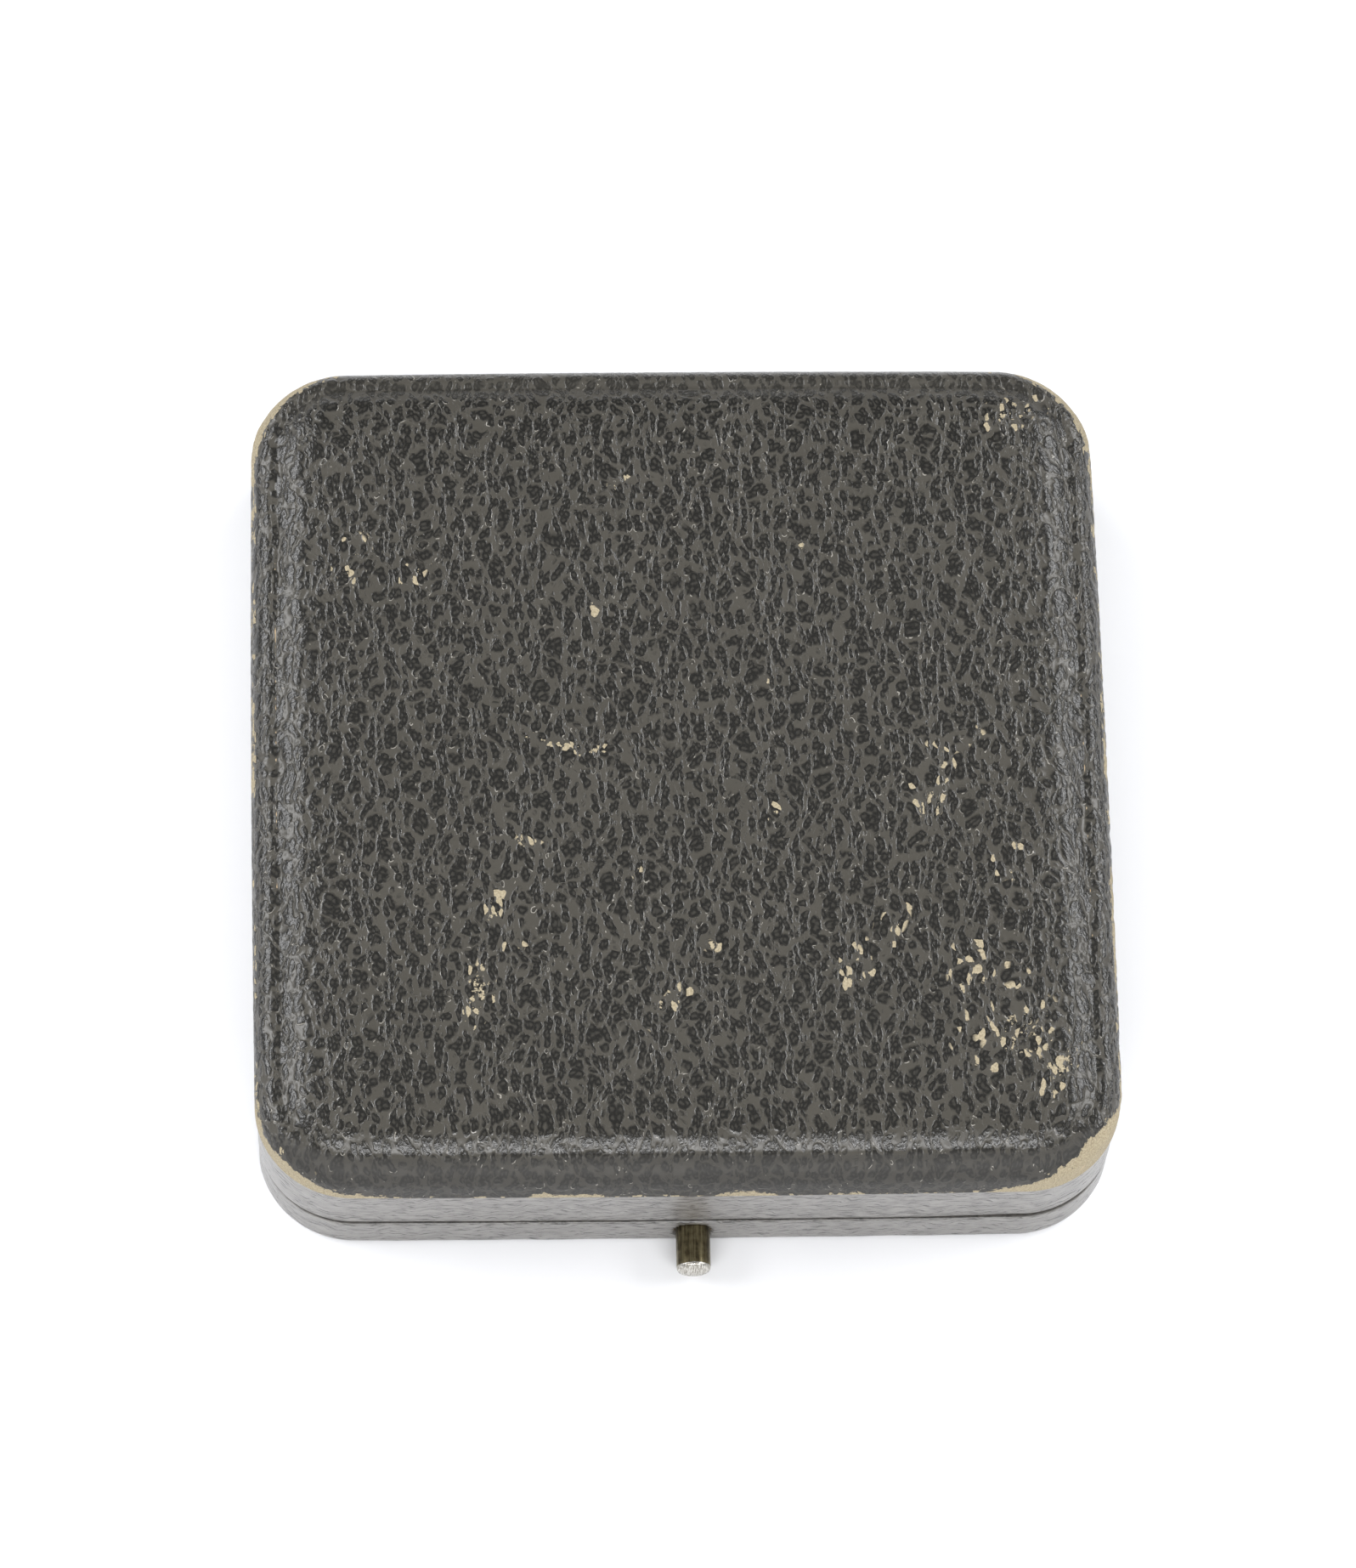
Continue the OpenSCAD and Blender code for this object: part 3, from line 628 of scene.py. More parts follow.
def build_lid_top():
    verts, faces = lid_top()
    x, y, z = verts[:, 0].copy(), verts[:, 1].copy(), verts[:, 2].copy()
    inset, _, _ = edge_inset(x, y, HALF_W, HALF_D, CORNER_R)
    inner = smooth(3.0, 8.0, inset)
    z = z + inner * (fractal2(x / 17 + 5, y / 17 + 9, 21, 2) - 0.5) * 0.22
    flat_back = smooth(0.35, 0.9, smooth(7.0, 3.0, inset) * smooth(HALF_D - 9, HALF_D - 3, y)) * 0.65
    flat_front = smooth(6.5, 4.2, inset) * smooth(-HALF_D + 8, -HALF_D + 3, y) * 0.30
    strip = smooth(EDGE_Z + 0.4, EDGE_Z - 0.5, z)
    flat = np.clip(np.maximum(np.maximum(flat_back, flat_front), strip * 0.35), 0, 1)
    back = (inset > 0.38) & (z < crown_at(inset, UNDER * 0.6))
    z = np.where(back, np.minimum(z, crown_at(inset, UNDER)), z)
    # the pebbles stand out more where the leather turns down to the left and right
    beside = smooth(16.0, 5.0, HALF_W - np.abs(x))
    on = np.where((z < STRIP_Z + 0.3) | back, 0.0, 1.0 + 0.8 * beside)
    worn = wear_field(x, y, z)
    bx, by = bulged(x, y, LID_BULGE)
    ob = make_object("lid_top_leather", np.stack([bx, by, z], 1), faces, "lid", TOP_LEATHER)
    attribute(ob, "grain_place", unrolled(x, y, z, inset), "FLOAT_VECTOR")
    attribute(ob, "drawn_flat", flat)
    attribute(ob, "grain_on", on)
    attribute(ob, "worn", worn)
    # painted shade in colour, and a duller, rougher finish, along the front roundover
    attribute(ob, "dulled_and_painted_shade", smooth(2.9, 2.2, inset) * smooth(-HALF_D + 6, -HALF_D + 3, y))
    raise_pebbles(ob)
    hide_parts("lid_top_cover")


def build_wadding():
    """The wadding under the leather of the top."""
    insets = [4.75, 5.0, 5.6, 6.5, 8.0, 10.0] + list(np.linspace(12.0, HALF_W - 0.8, 30))
    drop = [0.95, 0.7, 0.6, 0.57, 0.56, 0.56]
    profile = [(i, float(crown_at(i, d))) for i, d in zip(insets, drop + [0.56] * 30)][::-1]
    foot = padding_low[2] + 0.02
    verts, faces = cap_mesh(profile, [(4.72, foot + 0.3), (4.75, foot), (8.0, foot), (30.0, foot)])
    verts[:, 0], verts[:, 1] = bulged(verts[:, 0], verts[:, 1], LID_BULGE)
    ob = make_object("lid_wadding", verts, faces, "lid", WADDING)
    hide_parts("lid_padding")


# ------------------------------------------------------------------ leatherette of the sides


def side_leather(name, dark, light, wear_low, wear_high):
    """Finer, drawn grain: low ripples that run around the case."""
    mat, g, shader = material(name)
    p = place_mm(g)
    _, _, z = g.split(p)
    _, sway = g.noise(p, 0.35, 2.0)
    at = g.vector("ADD", p, g.vector("SCALE", g.vector("SUBTRACT", sway, (0.5, 0.5, 0.5)), scale=2.2))
    ripple, _ = g.noise(g.vector("MULTIPLY", at, (0.30, 0.30, 2.4)), 1.5, 3.0, 0.6)
    threads, _ = g.noise(g.vector("MULTIPLY", at, (0.55, 0.55, 5.0)), 1.3, 2.0, 0.6)
    low_down = g.step(z, wear_low, wear_high, 1.0, 0.35)
    tone = g.plus(g.times(ripple, 0.5), g.times(threads, 0.5))
    colour = g.mix_colour(g.step(tone, 0.38, 0.58), dark, light)
    fleck, _ = g.noise(p, 2.7, 3.0, 0.7)
    colour = g.mix_colour(g.step(fleck, 0.66, 0.74, 0.0, 0.5), colour, (0.26, 0.235, 0.20))
    # the rims that lie flat keep the leather's own darker tone and finer grain; the paler tone of the walls is
    # painted reflection
    _, _, up = g.split(g.node("ShaderNodeTexCoord").outputs["Normal"])
    flat = g.step(g.math("ABSOLUTE", up), 0.55, 0.85)
    fine, _ = g.noise(p, 1.7, 3.0, 0.6)
    rim_tone = g.mix_colour(g.step(fine, 0.36, 0.62), (0.036, 0.034, 0.030), (0.088, 0.082, 0.073))
    colour = g.mix_colour(flat, colour, rim_tone)
    rough = g.step(tone, 0.35, 0.65, 0.24, 0.38, "LINEAR")
    shader.inputs["Specular IOR Level"].default_value = 0.5
    shader.inputs["Coat Weight"].default_value = 0.45
    shader.inputs["Coat IOR"].default_value = 1.7
    shader.inputs["Coat Roughness"].default_value = 0.34
    relief = g.times(tone, g.times(low_down, 0.16))
    relief = g.times(relief, g.minus(1.0, flat))
    relief = g.plus(relief, g.times(g.times(fine, flat), 0.09))
    grit, _ = g.noise(p, 12.0, 2.0, 0.6)
    relief = g.plus(relief, g.times(grit, 0.006))
    dress(g, shader, colour, rough, relief)
    return mat


KNUCKLE_ROOM = 1.42        # radius kept clear around the hinge axis


def hinge_hollow(v):
    """Hollows the leather around the hinge knuckles."""
    for s in (-1, 1):
        near = np.abs(v[:, 0] - s * HINGE_X) < HINGE_HALF + 0.3
        away = np.hypot(v[:, 1] - AXIS_Y, v[:, 2] - AXIS_Z)
        hit = near & (away < KNUCKLE_ROOM)
        v[hit, 1] = AXIS_Y - np.sqrt(np.maximum(KNUCKLE_ROOM**2 - (v[hit, 2] - AXIS_Z) ** 2, 0))


def waved(v, outer, wave, draw_in):
    """Moves the outer points of a side covering out by wave and in by draw_in mm, away from the middle."""
    r = np.hypot(v[:, 0], v[:, 1])
    for axis in (0, 1):
        v[outer, axis] *= 1 + wave[outer] / r[outer] - draw_in / r[outer]


def over_leaf(v, side, front):
    """Which points of a side covering lie over a hinge leaf that starts at y front."""
    beside = np.abs(v[:, 0] - side * HINGE_X) < HINGE_HALF + 0.05
    return beside & (v[:, 1] > front - 0.05) & (v[:, 1] < AXIS_Y)


LIP_Z = RIM_Z - 0.20       # the soft covers nearly meet at the rims
AROUND = 1120              # points around the case
LID_LEAF_SEAT = 0.82       # mm that the covering is let in over a hinge leaf of the lid
BASE_LEAF_SEAT = 0.62      # the same on the base
PLATE_SEAT = 0.6           # and over the strike plate


def build_lid_side():
    section = straight_path([(0.25, STRIP_Z - 0.05), (0.25, LIP_Z + 0.22)], 0.36)
    section += [(0.29, LIP_Z + 0.08), (0.40, LIP_Z)]
    section += straight_path([(0.75, LIP_Z), (3.65, LIP_Z)], 0.42)
    section += [(3.81, LIP_Z + 0.05), (3.85, LIP_Z + 0.2)]
    section += straight_path([(3.85, RIM_Z + 0.6), (3.85, STRIP_Z - 0.62)], 0.5)
    section += [(3.62, STRIP_Z - 0.62), (3.62, RIM_Z + 0.25), (0.62, RIM_Z + 0.25), (0.62, STRIP_Z - 0.05)]
    v, faces = sweep(section, AROUND, HALF_W, HALF_D, CORNER_R, LID_BULGE)
    hinge_hollow(v)
    for s in (-1, 1):
        leaf = over_leaf(v, s, lid_leaf_low[1]) & (v[:, 2] < RIM_Z + 0.12)
        v[leaf, 2] += LID_LEAF_SEAT
    plate = (v[:, 0] > strike_low[0] - 0.05) & (v[:, 0] < strike_high[0] + 0.05) & (v[:, 1] < strike_high[1] + 0.1)
    plate &= (v[:, 1] > strike_low[1] - 0.1) & (v[:, 2] < strike_high[2] + 0.05) & (v[:, 2] > strike_low[2] - 0.1)
    v[plate, 1] -= PLATE_SEAT
    # the cover is pasted by hand: it waves a little, and gapes at one corner
    wave = (fractal2(np.arctan2(v[:, 1], v[:, 0]) * 12 + 60, v[:, 2] * 0.4, 31, 3) - 0.5) * 0.10
    inset, _, _ = edge_inset(v[:, 0], v[:, 1], HALF_W, HALF_D, CORNER_R)
    waved(v, inset < 0.7, wave, 0.05)
    gape = smooth(24, 40, v[:, 0]) * smooth(-36, -43, v[:, 1]) + smooth(30, 41, v[:, 0]) * smooth(-30, -42, v[:, 1])
    low = v[:, 2] < RIM_Z + 0.5
    v[low, 2] += 0.32 * np.clip(gape[low], 0, 1)
    ob = make_object("lid_side_leather", v, faces, "lid", LID_SIDE_LEATHER)
    tidied(ob)
    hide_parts("lid_side_cover")


def build_base_side():
    # turned in under the wall as far as the paper below, then up the side and in over the rim
    under = BASE_FOOT - 0.18
    rim_in = BASE_W - 40.75            # the covering of the rim ends at the collar
    section = [(0.86, BASE_FOOT - 0.02), (0.86, under), (0.60, under), (0.34, under), (0.15, under + 0.06)]
    section += [(0.04, under + 0.2)]
    section += straight_path([(0.0, BASE_FOOT + 0.3), (0.0, BASE_Z - 0.22)], 0.22)
    section += [(0.05, BASE_Z - 0.07), (0.18, BASE_Z)]
    section += straight_path([(0.5, BASE_Z), (rim_in, BASE_Z)], 0.42)
    section += [(rim_in, BASE_Z - 0.25), (0.4, BASE_Z - 0.25), (0.4, BASE_FOOT - 0.02)]
    v, faces = sweep(section[::-1], AROUND, BASE_W, BASE_D, CORNER_R - 0.1, BASE_BULGE)
    hinge_hollow(v)
    for s in (-1, 1):
        leaf = over_leaf(v, s, leaf_low[1]) & (v[:, 2] > BASE_Z - 0.12)
        v[leaf, 2] -= BASE_LEAF_SEAT
    inset, _, _ = edge_inset(v[:, 0], v[:, 1], BASE_W, BASE_D, CORNER_R)
    outer = inset < 0.3
    wave = (fractal2(np.arctan2(v[:, 1], v[:, 0]) * 14 + 90, v[:, 2] * 0.5, 41, 3) - 0.5) * 0.10
    waved(v, outer, wave, 0.04)
    # the hole's lip stands a little proud around the button
    from_axis = np.hypot(v[:, 0] - BUTTON_X, v[:, 2] - BUTTON_Z)
    front = (v[:, 1] < -BASE_D + 0.3) & outer
    lip = front & (from_axis > 1.8) & (from_axis < 2.9)
    v[lip, 1] -= 0.05 * np.exp(-(((from_axis[lip] - 2.05) / 0.3) ** 2))
    hole = front & (from_axis <= 1.95)
    v[hole, 1] += 0.7
    ob = make_object("base_side_leather", v, faces, "base", BASE_SIDE_LEATHER)
    tidied(ob)
    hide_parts("base_side_cover")


# ------------------------------------------------------------------ pads, swelled by a cloth simulation

SIM = 10.0             # the pads are simulated ten times as large


def outline_mm(half_w, half_d, r, notch=None):
    """A rounded rectangle as a list of points, counter-clockwise, with a notch (x0, x1, y) in its front side."""
    t = np.arange(96) / 12
    x, y = rounded_point(t, half_w, half_d, r)
    points = list(zip(x, y))
    if notch:
        x0, x1, y1 = notch
        front = [i for i, (a, b) in enumerate(points) if b < -half_d + 0.01 and x0 - 0.6 < a < x1 + 0.6]
        points = points[:front[0]] + [(x0, -half_d), (x0, y1), (x1, y1), (x1, -half_d)] + points[front[-1] + 1:]
    return points


def puffed(name, outline, board, face, body, mat, swell, pressure):
    """A pad glued to its board at height board, swelled towards height face. Simulated, then capped to swell mm."""
    up = 1 if face > board else -1
    start = face - up * swell
    low, high = min(board, start), max(board, start)
    n = len(outline)
    verts = [(x * MM * SIM, y * MM * SIM, z * MM * SIM) for z in (low, high) for x, y in outline]
    faces = [tuple(range(n))[::-1], tuple(range(n, 2 * n))]
    faces += band(0, n, n)
    mesh = bpy.data.meshes.new(name + "_rough")
    mesh.from_pydata(verts, [], faces)
    rough = bpy.data.objects.new(name + "_rough", mesh)
    bpy.context.scene.collection.objects.link(rough)
    remesh = rough.modifiers.new("remesh", "REMESH")
    remesh.mode = "VOXEL"
    remesh.voxel_size = 0.95 * MM * SIM
    flat = bpy.data.meshes.new_from_object(rough.evaluated_get(bpy.context.evaluated_depsgraph_get()))
    rough.modifiers.clear()
    rough.data = flat
    rest = np.empty(len(flat.vertices) * 3)
    flat.vertices.foreach_get("co", rest)
    rest = rest.reshape(-1, 3)
    at = rest.copy()
    glued = rough.vertex_groups.new(name="glued")
    near = np.abs(rest[:, 2] - board * MM * SIM) < 0.3 * MM * SIM
    glued.add([int(i) for i in np.nonzero(near)[0]], 1.0, "REPLACE")
    cloth = rough.modifiers.new("cloth", "CLOTH")
    cloth.settings.vertex_group_mass = "glued"
    cloth.settings.quality = 5
    cloth.settings.mass = 0.3
    cloth.settings.tension_stiffness = cloth.settings.compression_stiffness = 12
    cloth.settings.bending_stiffness = 0.4
    cloth.settings.use_pressure = True
    cloth.settings.uniform_pressure_force = pressure
    cloth.settings.effector_weights.gravity = 0
    cloth.point_cache.frame_start, cloth.point_cache.frame_end = 1, 20
    for frame_number in range(1, 21):
        bpy.context.scene.frame_set(frame_number)
    swelled = rough.evaluated_get(bpy.context.evaluated_depsgraph_get()).to_mesh()
    swelled.vertices.foreach_get("co", at.reshape(-1))
    bpy.context.scene.frame_set(1)
    rough.modifiers.clear()
    move = (at - rest) / (MM * SIM)
    length = np.maximum(np.linalg.norm(move, axis=1, keepdims=True), 1e-9)
    move *= np.minimum(1, swell / length)
    rest /= MM * SIM
    at = rest + move
    x, y = at[:, 0], at[:, 1]
    on_face = smooth(0.25, 0.9, np.abs(at[:, 2] - board) / abs(face - board))
    at[:, 2] += -up * on_face * 0.22 * fractal2(x / 9 + 31, y / 9 + 7, 51, 3)
    at[:, 2] = np.clip(at[:, 2], min(board, face), max(board, face))
    out_x, out_y = max(abs(a) for a, _ in outline), max(abs(b) for _, b in outline)
    at[:, 0], at[:, 1] = np.clip(at[:, 0], -out_x, out_x), np.clip(at[:, 1], -out_y, out_y)
    faces = [tuple(f.vertices) for f in flat.polygons]
    bpy.data.objects.remove(rough)
    ob = make_object(name, at, faces, body, mat)
    smoother = ob.modifiers.new("smoother", "SUBSURF")
    smoother.levels = smoother.render_levels = 1
    bpy.context.view_layer.objects.active = ob
    bpy.ops.object.modifier_apply(modifier="smoother")
    return ob


def build_pads():
    room = 0.35            # around the catch case
    notch = (case_low[0] - room, case_high[0] + room, case_high[1] + room)
    outline = outline_mm(pad_high[0], pad_high[1], 4.2, notch)
    pad = puffed("jewel_pad_velvet", outline, pad_low[2], pad_high[2], "base", VELVET, 0.8, 4.0)
    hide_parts("jewel_pad")
    outline = outline_mm(cushion_high[0] - 0.1, cushion_high[1] - 0.1, 5.9)
    cushion = puffed("lid_cushion_satin", outline, cushion_high[2], cushion_low[2], "lid", SATIN, 0.9, 4.0)
    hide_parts("lid_cushion")


# ------------------------------------------------------------------ push button


SHOULDER_Y = -42.3         # where the bar ends and its thin shank begins
SHANK_R = 0.9


def build_button():
    """Turned brass button with a rounded, worn end, and its thin shank inside the catch."""
    front = button_low[1]
    shoulder, length = SHOULDER_Y - front, button_high[1] - front
    # (distance from the end, radius)
    profile = [(0.0, 0.0), (0.02, 0.45), (0.07, 0.9), (0.15, 1.3), (0.24, 1.55), (0.36, 1.70), (0.52, 1.77)]
    profile += [(0.75, BUTTON_R)] + [(d, BUTTON_R) for d in np.arange(1.2, shoulder, 0.5)]
    profile += [(shoulder, BUTTON_R), (shoulder, SHANK_R), (length - 0.1, SHANK_R), (length, 0.8), (length, 0.0)]
    count = 96
    angle = np.arange(count) * 2 * math.pi / count
    verts, worn = [], []
    for d, r in profile:
        dent = 1 - 0.006 * noise2(angle / 0.5 + 3, np.full(count, d * 1.3 + 2), 61) if 0.3 < r else np.ones(count)
        x, z = BUTTON_X + r * dent * np.cos(angle), BUTTON_Z + r * dent * np.sin(angle)
        verts.append(np.stack([x, np.full(count, front + d), z], 1))
        worn.append(np.full(count, float(smooth(0.85, 0.45, d))))
    faces = []
    for i in range(len(profile) - 1):
        faces += band(i * count, (i + 1) * count, count)
    ob = make_object("push_button_turned", np.concatenate(verts), faces, "button", WORN_BUTTON)
    attribute(ob, "worn", np.concatenate(worn))
    tidied(ob)
    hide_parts("push_button")


def build_spring():
    """Compression spring of round wire with its end turns closed."""
    wire, turns, steps, sides = 0.14, 5, 32, 10
    radius = (spring_high[0] - spring_low[0]) / 2 - wire
    rings = turns * steps
    t = np.linspace(0, 1, rings + 1)
    along = t - 0.55 * np.sin(2 * math.pi * t) / (2 * math.pi)
    y = spring_low[1] + wire + (spring_high[1] - spring_low[1] - 2 * wire) * along
    a = 2 * math.pi * turns * t[:, None]
    b = 2 * math.pi * np.arange(sides)[None, :] / sides
    r = radius + wire * np.cos(b)
    x = BUTTON_X + r * np.cos(a)
    z = BUTTON_Z + r * np.sin(a)
    verts = np.stack([x, y[:, None] + wire * np.sin(b) + 0 * a, z], 2).reshape(-1, 3)
    faces = []
    for i in range(rings):
        faces += band(i * sides, (i + 1) * sides, sides)
    faces += [tuple(range(sides))[::-1], tuple(rings * sides + j for j in range(sides))]
    ob = make_object("return_spring_coil", verts, faces, "base", STEEL)
    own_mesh(ob)
    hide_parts("return_spring")


# ------------------------------------------------------------------ other materials


def worn_button():
    """Dark brass with streaks along the side, rubbed to a bright scratched end."""
    mat, g, shader = material("worn_button")
    p = place_mm(g)
    x, y, z = g.split(p)
    worn = named(g, "worn")
    around = g.join(g.minus(x, BUTTON_X), 0.0, g.minus(z, BUTTON_Z))
    drawn = g.join(0.0, g.times(y, 0.10), 0.0)
    streak, _ = g.noise(g.vector("ADD", g.vector("MULTIPLY", around, (2.4, 0.0, 2.4)), drawn), 1.3, 3.0, 0.6)
    blotch, _ = g.noise(p, 1.1, 3.0, 0.65)
    tone = g.plus(g.times(streak, 0.7), g.times(blotch, 0.3))
    side = g.mix_colour(g.step(tone, 0.38, 0.64), (0.050, 0.040, 0.022), (0.25, 0.215, 0.125))
    scratch_at = g.vector("ADD", p, g.vector("SCALE", around, scale=0.4))
    scratch, _ = g.noise(g.vector("MULTIPLY", scratch_at, (6.0, 1.0, 0.8)), 1.4, 3.0, 0.7)
    end = g.mix_colour(g.step(scratch, 0.40, 0.62), (0.30, 0.28, 0.24), (0.72, 0.70, 0.65))
    edge = g.plus(worn, g.times(g.minus(blotch, 0.5), 0.9))
    mask = g.step(edge, 0.35, 0.60)
    shader.inputs["Metallic"].default_value = 1.0
    rough_side, rough_end = g.step(tone, 0.3, 0.7, 0.42, 0.27), g.step(scratch, 0.3, 0.7, 0.36, 0.24)
    relief = g.times(scratch, g.times(mask, 0.03))
    relief = g.plus(relief, g.times(streak, 0.012))
    dress(g, shader, g.mix_colour(mask, side, end), g.mix(mask, rough_side, rough_end), relief)
    return mat


def old_brass(name, bright, dull):
    """Tarnished brass with streaks along the bar."""
    mat, g, shader = material(name)
    p = place_mm(g)
    streak, _ = g.noise(g.vector("MULTIPLY", p, (3.0, 0.35, 3.0)), 1.6, 4.0, 0.65)
    blotch, _ = g.noise(p, 0.9, 3.0, 0.6)
    tone = g.plus(g.times(streak, 0.65), g.times(blotch, 0.35))
    colour = g.mix_colour(g.step(tone, 0.36, 0.66), dull, bright)
    shader.inputs["Metallic"].default_value = 1.0
    scratch, _ = g.noise(g.vector("MULTIPLY", p, (7.0, 0.6, 7.0)), 2.2, 2.0, 0.6)
    dress(g, shader, colour, g.step(tone, 0.3, 0.7, 0.48, 0.28), g.times(scratch, 0.012))
    return mat


def plain_steel():
    mat, g, shader = material("plain_steel")
    p = place_mm(g)
    turn, _ = g.noise(g.vector("MULTIPLY", p, (0.4, 6.0, 6.0)), 1.5, 3.0, 0.6)
    shader.inputs["Metallic"].default_value = 1.0
    colour = g.mix_colour(turn, (0.38, 0.38, 0.39), (0.56, 0.56, 0.57))
    dress(g, shader, colour, g.step(turn, 0.3, 0.7, 0.42, 0.28), g.times(turn, 0.006))
    return mat


def board(name, light, dark, grain):
    """Wood with long grain, or card with short fibres."""
    mat, g, shader = material(name)
    p = place_mm(g)
    run = g.vector("MULTIPLY", p, (1.0, 0.12, 1.0) if grain else (1.0, 1.0, 1.0))
    rings, _ = g.noise(run, 0.9 if grain else 2.6, 4.0, 0.62)
    fibre, _ = g.noise(run, 7.0, 2.0, 0.6)
    tone = g.plus(g.times(rings, 0.65), g.times(fibre, 0.35))
    colour = g.mix_colour(g.step(tone, 0.35, 0.65), light, dark)
    dress(g, shader, colour, g.step(tone, 0.3, 0.7, 0.62, 0.8), g.times(tone, 0.03))
    return mat


def pile(name, deep, tip):
    """Short pile fabric with brushed patches."""
    mat, g, shader = material(name)
    p = place_mm(g)
    brushed, _ = g.noise(p, 0.11, 3.0, 0.6)
    tuft, _ = g.noise(p, 7.5, 2.0, 0.65)
    tone = g.plus(g.times(brushed, 0.6), g.times(tuft, 0.4))
    shader.inputs["Sheen Weight"].default_value = 0.35
    shader.inputs["Sheen Roughness"].default_value = 0.4
    colour = g.mix_colour(g.step(tone, 0.36, 0.64), deep, tip)
    dress(g, shader, colour, g.step(tuft, 0.3, 0.7, 0.8, 0.95), g.times(tuft, 0.06))
    return mat


def silk(name, light, shade):
    """Satin: long floats that shine along the weave."""
    mat, g, shader = material(name)
    p = place_mm(g)
    floats, _ = g.noise(g.vector("MULTIPLY", p, (9.0, 1.2, 1.2)), 1.4, 2.0, 0.6)
    stain, _ = g.noise(p, 0.06, 3.0, 0.6)
    colour = g.mix_colour(g.step(floats, 0.3, 0.7), light, shade)
    colour = g.mix_colour(g.step(stain, 0.5, 0.8, 0.0, 0.35), colour, (0.62, 0.52, 0.36))
    shader.inputs["Anisotropic"].default_value = 0.5
    shader.inputs["Sheen Weight"].default_value = 0.25
    dress(g, shader, colour, g.step(floats, 0.3, 0.7, 0.30, 0.42), g.times(floats, 0.012))
    return mat


TOP_LEATHER = top_leather()
# painted reflection: the pale tone of the side walls stands in for the white table mirrored in their sheen at a
# grazing angle; the leather itself is nearly as dark as the top
LID_SIDE_LEATHER = side_leather("lid_side_leatherette", (0.050, 0.046, 0.042), (0.225, 0.213, 0.200), RIM_Z, STRIP_Z)
BASE_SIDE_LEATHER = side_leather("base_side_leatherette", (0.048, 0.044, 0.040), (0.215, 0.204, 0.191), 0.0, 9.0)
BOTTOM_PAPER = side_leather("bottom_leatherette", (0.026, 0.024, 0.024), (0.046, 0.043, 0.042), 0.0, 4.0)
BUTTON_BRASS = old_brass("button_brass", (0.23, 0.19, 0.095), (0.060, 0.048, 0.028))
WORN_BUTTON = worn_button()
HINGE_BRASS = old_brass("hinge_brass", (0.52, 0.40, 0.19), (0.26, 0.19, 0.09))
CATCH_BRASS = old_brass("catch_brass", (0.46, 0.36, 0.18), (0.20, 0.15, 0.08))
STEEL = plain_steel()
TIMBER = board("timber", (0.56, 0.43, 0.27), (0.42, 0.30, 0.18), True)
CARD = board("greyboard", (0.40, 0.36, 0.30), (0.30, 0.27, 0.23), False)
VELVET = pile("velvet", (0.016, 0.009, 0.030), (0.046, 0.026, 0.078))
WADDING = pile("wadding", (0.62, 0.60, 0.55), (0.78, 0.77, 0.73))
SATIN = silk("ivory_satin", (0.78, 0.72, 0.58), (0.66, 0.60, 0.47))

for names, mat in [
    (("bottom_cover",), BOTTOM_PAPER),
    (("floor_board", "collar", "pad_board", "lid_cushion_board"), CARD),
    (("base_wall", "lid_wall", "lid_top_board"), TIMBER),
    (("collar_velvet", "jewel_pad"), VELVET),
    (("hinge_base_left", "hinge_base_right", "hinge_lid_left", "hinge_lid_right"), HINGE_BRASS),
    (("hinge_nails_base", "hinge_nails_lid"), HINGE_BRASS),
    (("hinge_pin_left", "hinge_pin_right", "catch_screws", "return_spring", "button_collar"), STEEL),
    (("button_bush", "push_button"), BUTTON_BRASS),
    (("catch_case", "latch_hook", "strike_plate", "strike_nails"), CATCH_BRASS),
    (("lid_padding",), WADDING),
    (("lid_cushion",), SATIN),
]:
    for name in names:
        nodes[name].data.materials.clear()
        nodes[name].data.materials.append(mat)

build_lid_top()
build_wadding()
build_lid_side()
build_base_side()
build_button()
build_spring()
build_pads()

# ------------------------------------------------------------------ floor, light and camera


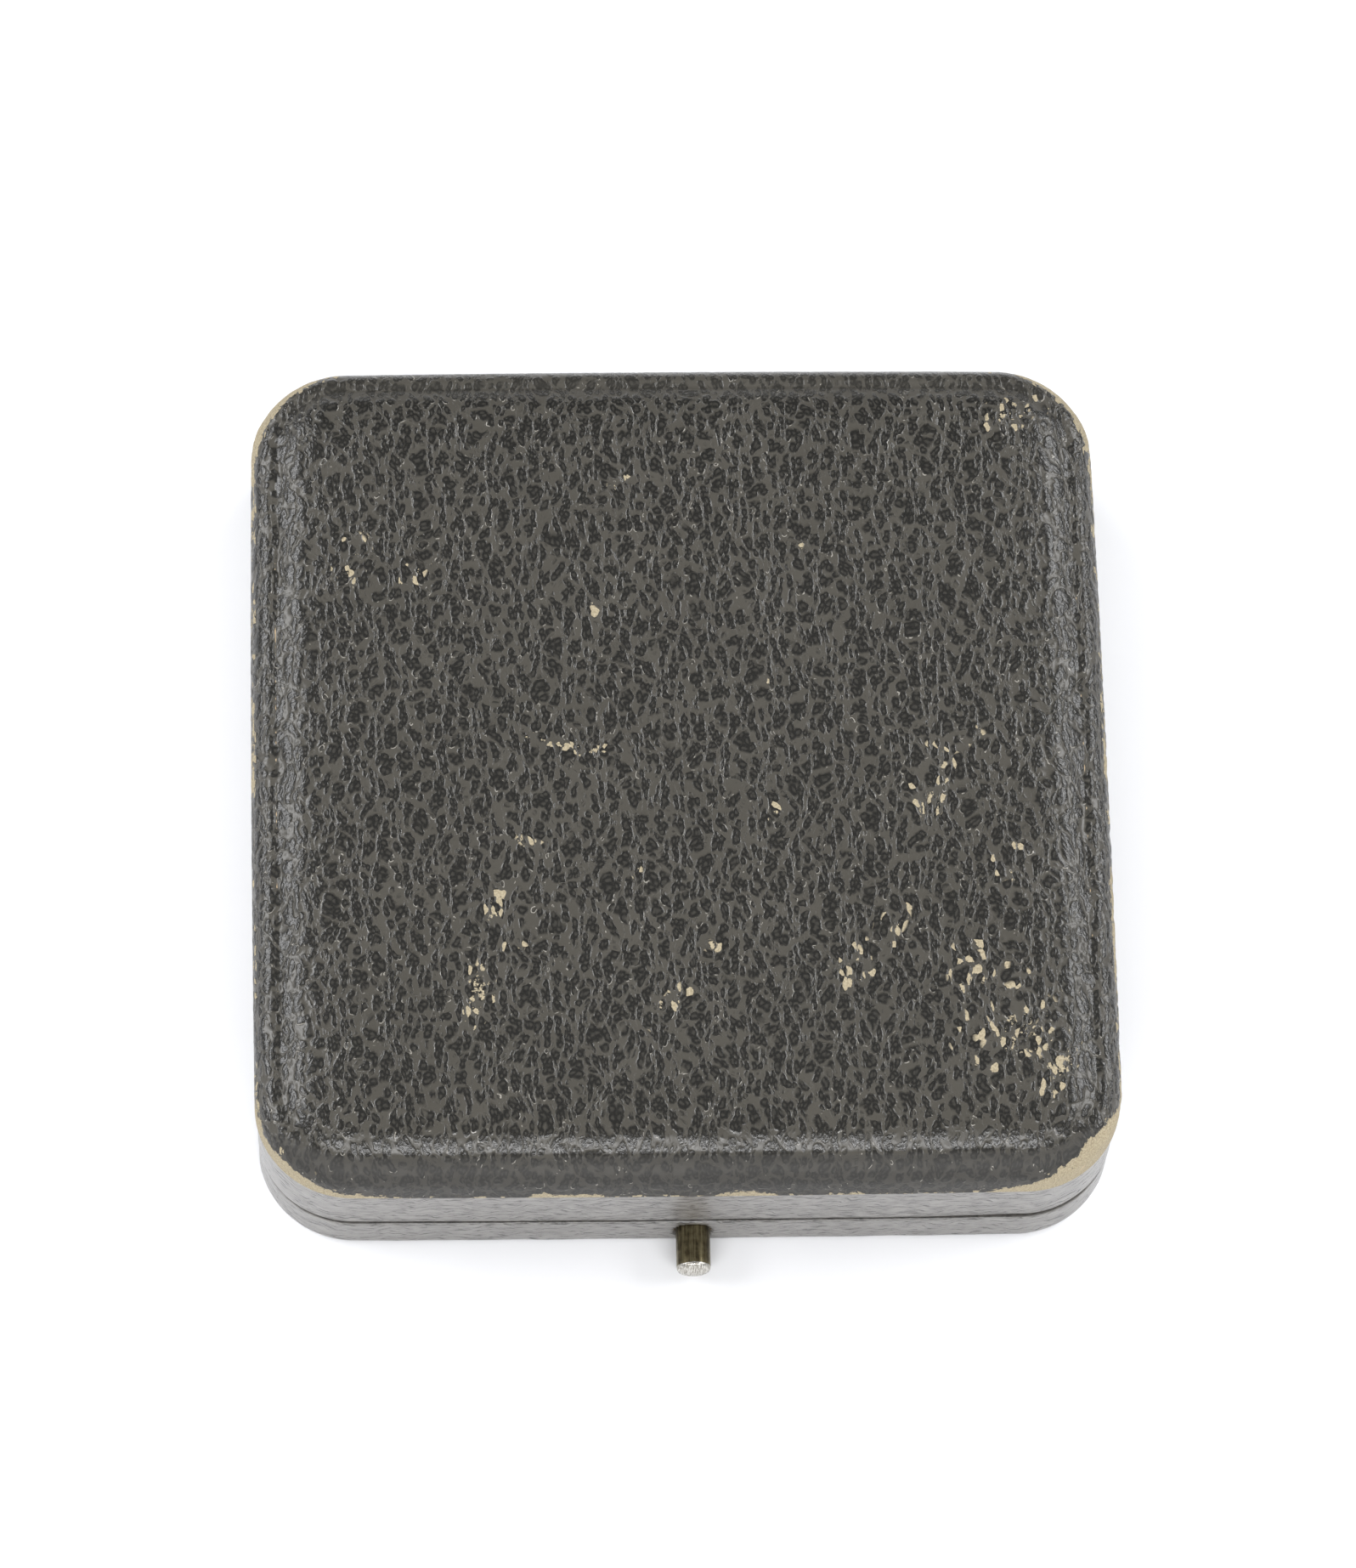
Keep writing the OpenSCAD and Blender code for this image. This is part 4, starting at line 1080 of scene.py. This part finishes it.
def build_floor():
    mat, g, shader = material("studio_table")
    p = place_mm(g)
    cloud, _ = g.noise(p, 0.01, 2.0)
    g.put(shader.inputs["Base Color"], g.mix_colour(cloud, (0.90, 0.905, 0.92), (0.92, 0.925, 0.935)))
    shader.inputs["Roughness"].default_value = 0.6
    shader.inputs["Specular IOR Level"].default_value = 0.25
    size, cells = 1600.0, 24
    span = np.linspace(-size, size, cells + 1)
    xx, yy = np.meshgrid(span, span)
    verts = np.stack([xx.ravel(), yy.ravel(), np.zeros(xx.size)], 1) * MM
    faces = [(j * (cells + 1) + i, j * (cells + 1) + i + 1, (j + 1) * (cells + 1) + i + 1, (j + 1) * (cells + 1) + i)
             for j in range(cells) for i in range(cells)]
    mesh = bpy.data.meshes.new("studio_table")
    mesh.from_pydata([tuple(v) for v in verts], [], faces)
    ob = bpy.data.objects.new("studio_table", mesh)
    bpy.context.scene.collection.objects.link(ob)
    mesh.materials.append(mat)


def area_light(name, place, aim, size, power, tint=(1, 1, 1)):
    data = bpy.data.lights.new(name, "AREA")
    data.shape = "RECTANGLE"
    data.size, data.size_y = size
    data.energy = power
    data.color = tint
    ob = bpy.data.objects.new(name, data)
    bpy.context.scene.collection.objects.link(ob)
    ob.location = place
    ob.rotation_euler = (Vector(aim) - Vector(place)).to_track_quat("-Z", "Y").to_euler()


build_floor()
area_light("soft_left", (-0.72, 0.30, 0.60), (0, 0, 0), (1.0, 0.30), 8.6, (0.98, 0.985, 1.0))
area_light("soft_right", (0.74, 0.30, 0.60), (0, 0, 0), (1.0, 0.30), 8.0, (0.985, 0.99, 1.0))
area_light("soft_front", (0.0, -0.70, 0.64), (0, 0, 0), (1.1, 0.16), 8.8, (0.99, 0.99, 1.0))
area_light("soft_top", (0.0, 0.30, 1.30), (0, 0, 0), (1.3, 0.9), 0.9, (1.0, 0.995, 0.985))

world = bpy.data.worlds.new("studio")
bpy.context.scene.world = world
world.use_nodes = True
world.node_tree.nodes["Background"].inputs[0].default_value = (0.94, 0.96, 1.0, 1)
world.node_tree.nodes["Background"].inputs[1].default_value = 0.22

camera_data = bpy.data.cameras.new("camera")
camera_data.sensor_width = 36
camera_data.lens = 195.1
camera_data.clip_start, camera_data.clip_end = 0.05, 20
camera = bpy.data.objects.new("camera", camera_data)
bpy.context.scene.collection.objects.link(camera)
camera.location = (-0.03947, -0.35790, 0.83128)
camera.rotation_euler = (0.41264, -0.03711, -0.02496)
bpy.context.scene.camera = camera
bpy.context.scene.view_settings.view_transform = "Standard"
bpy.context.scene.view_settings.look = "None"
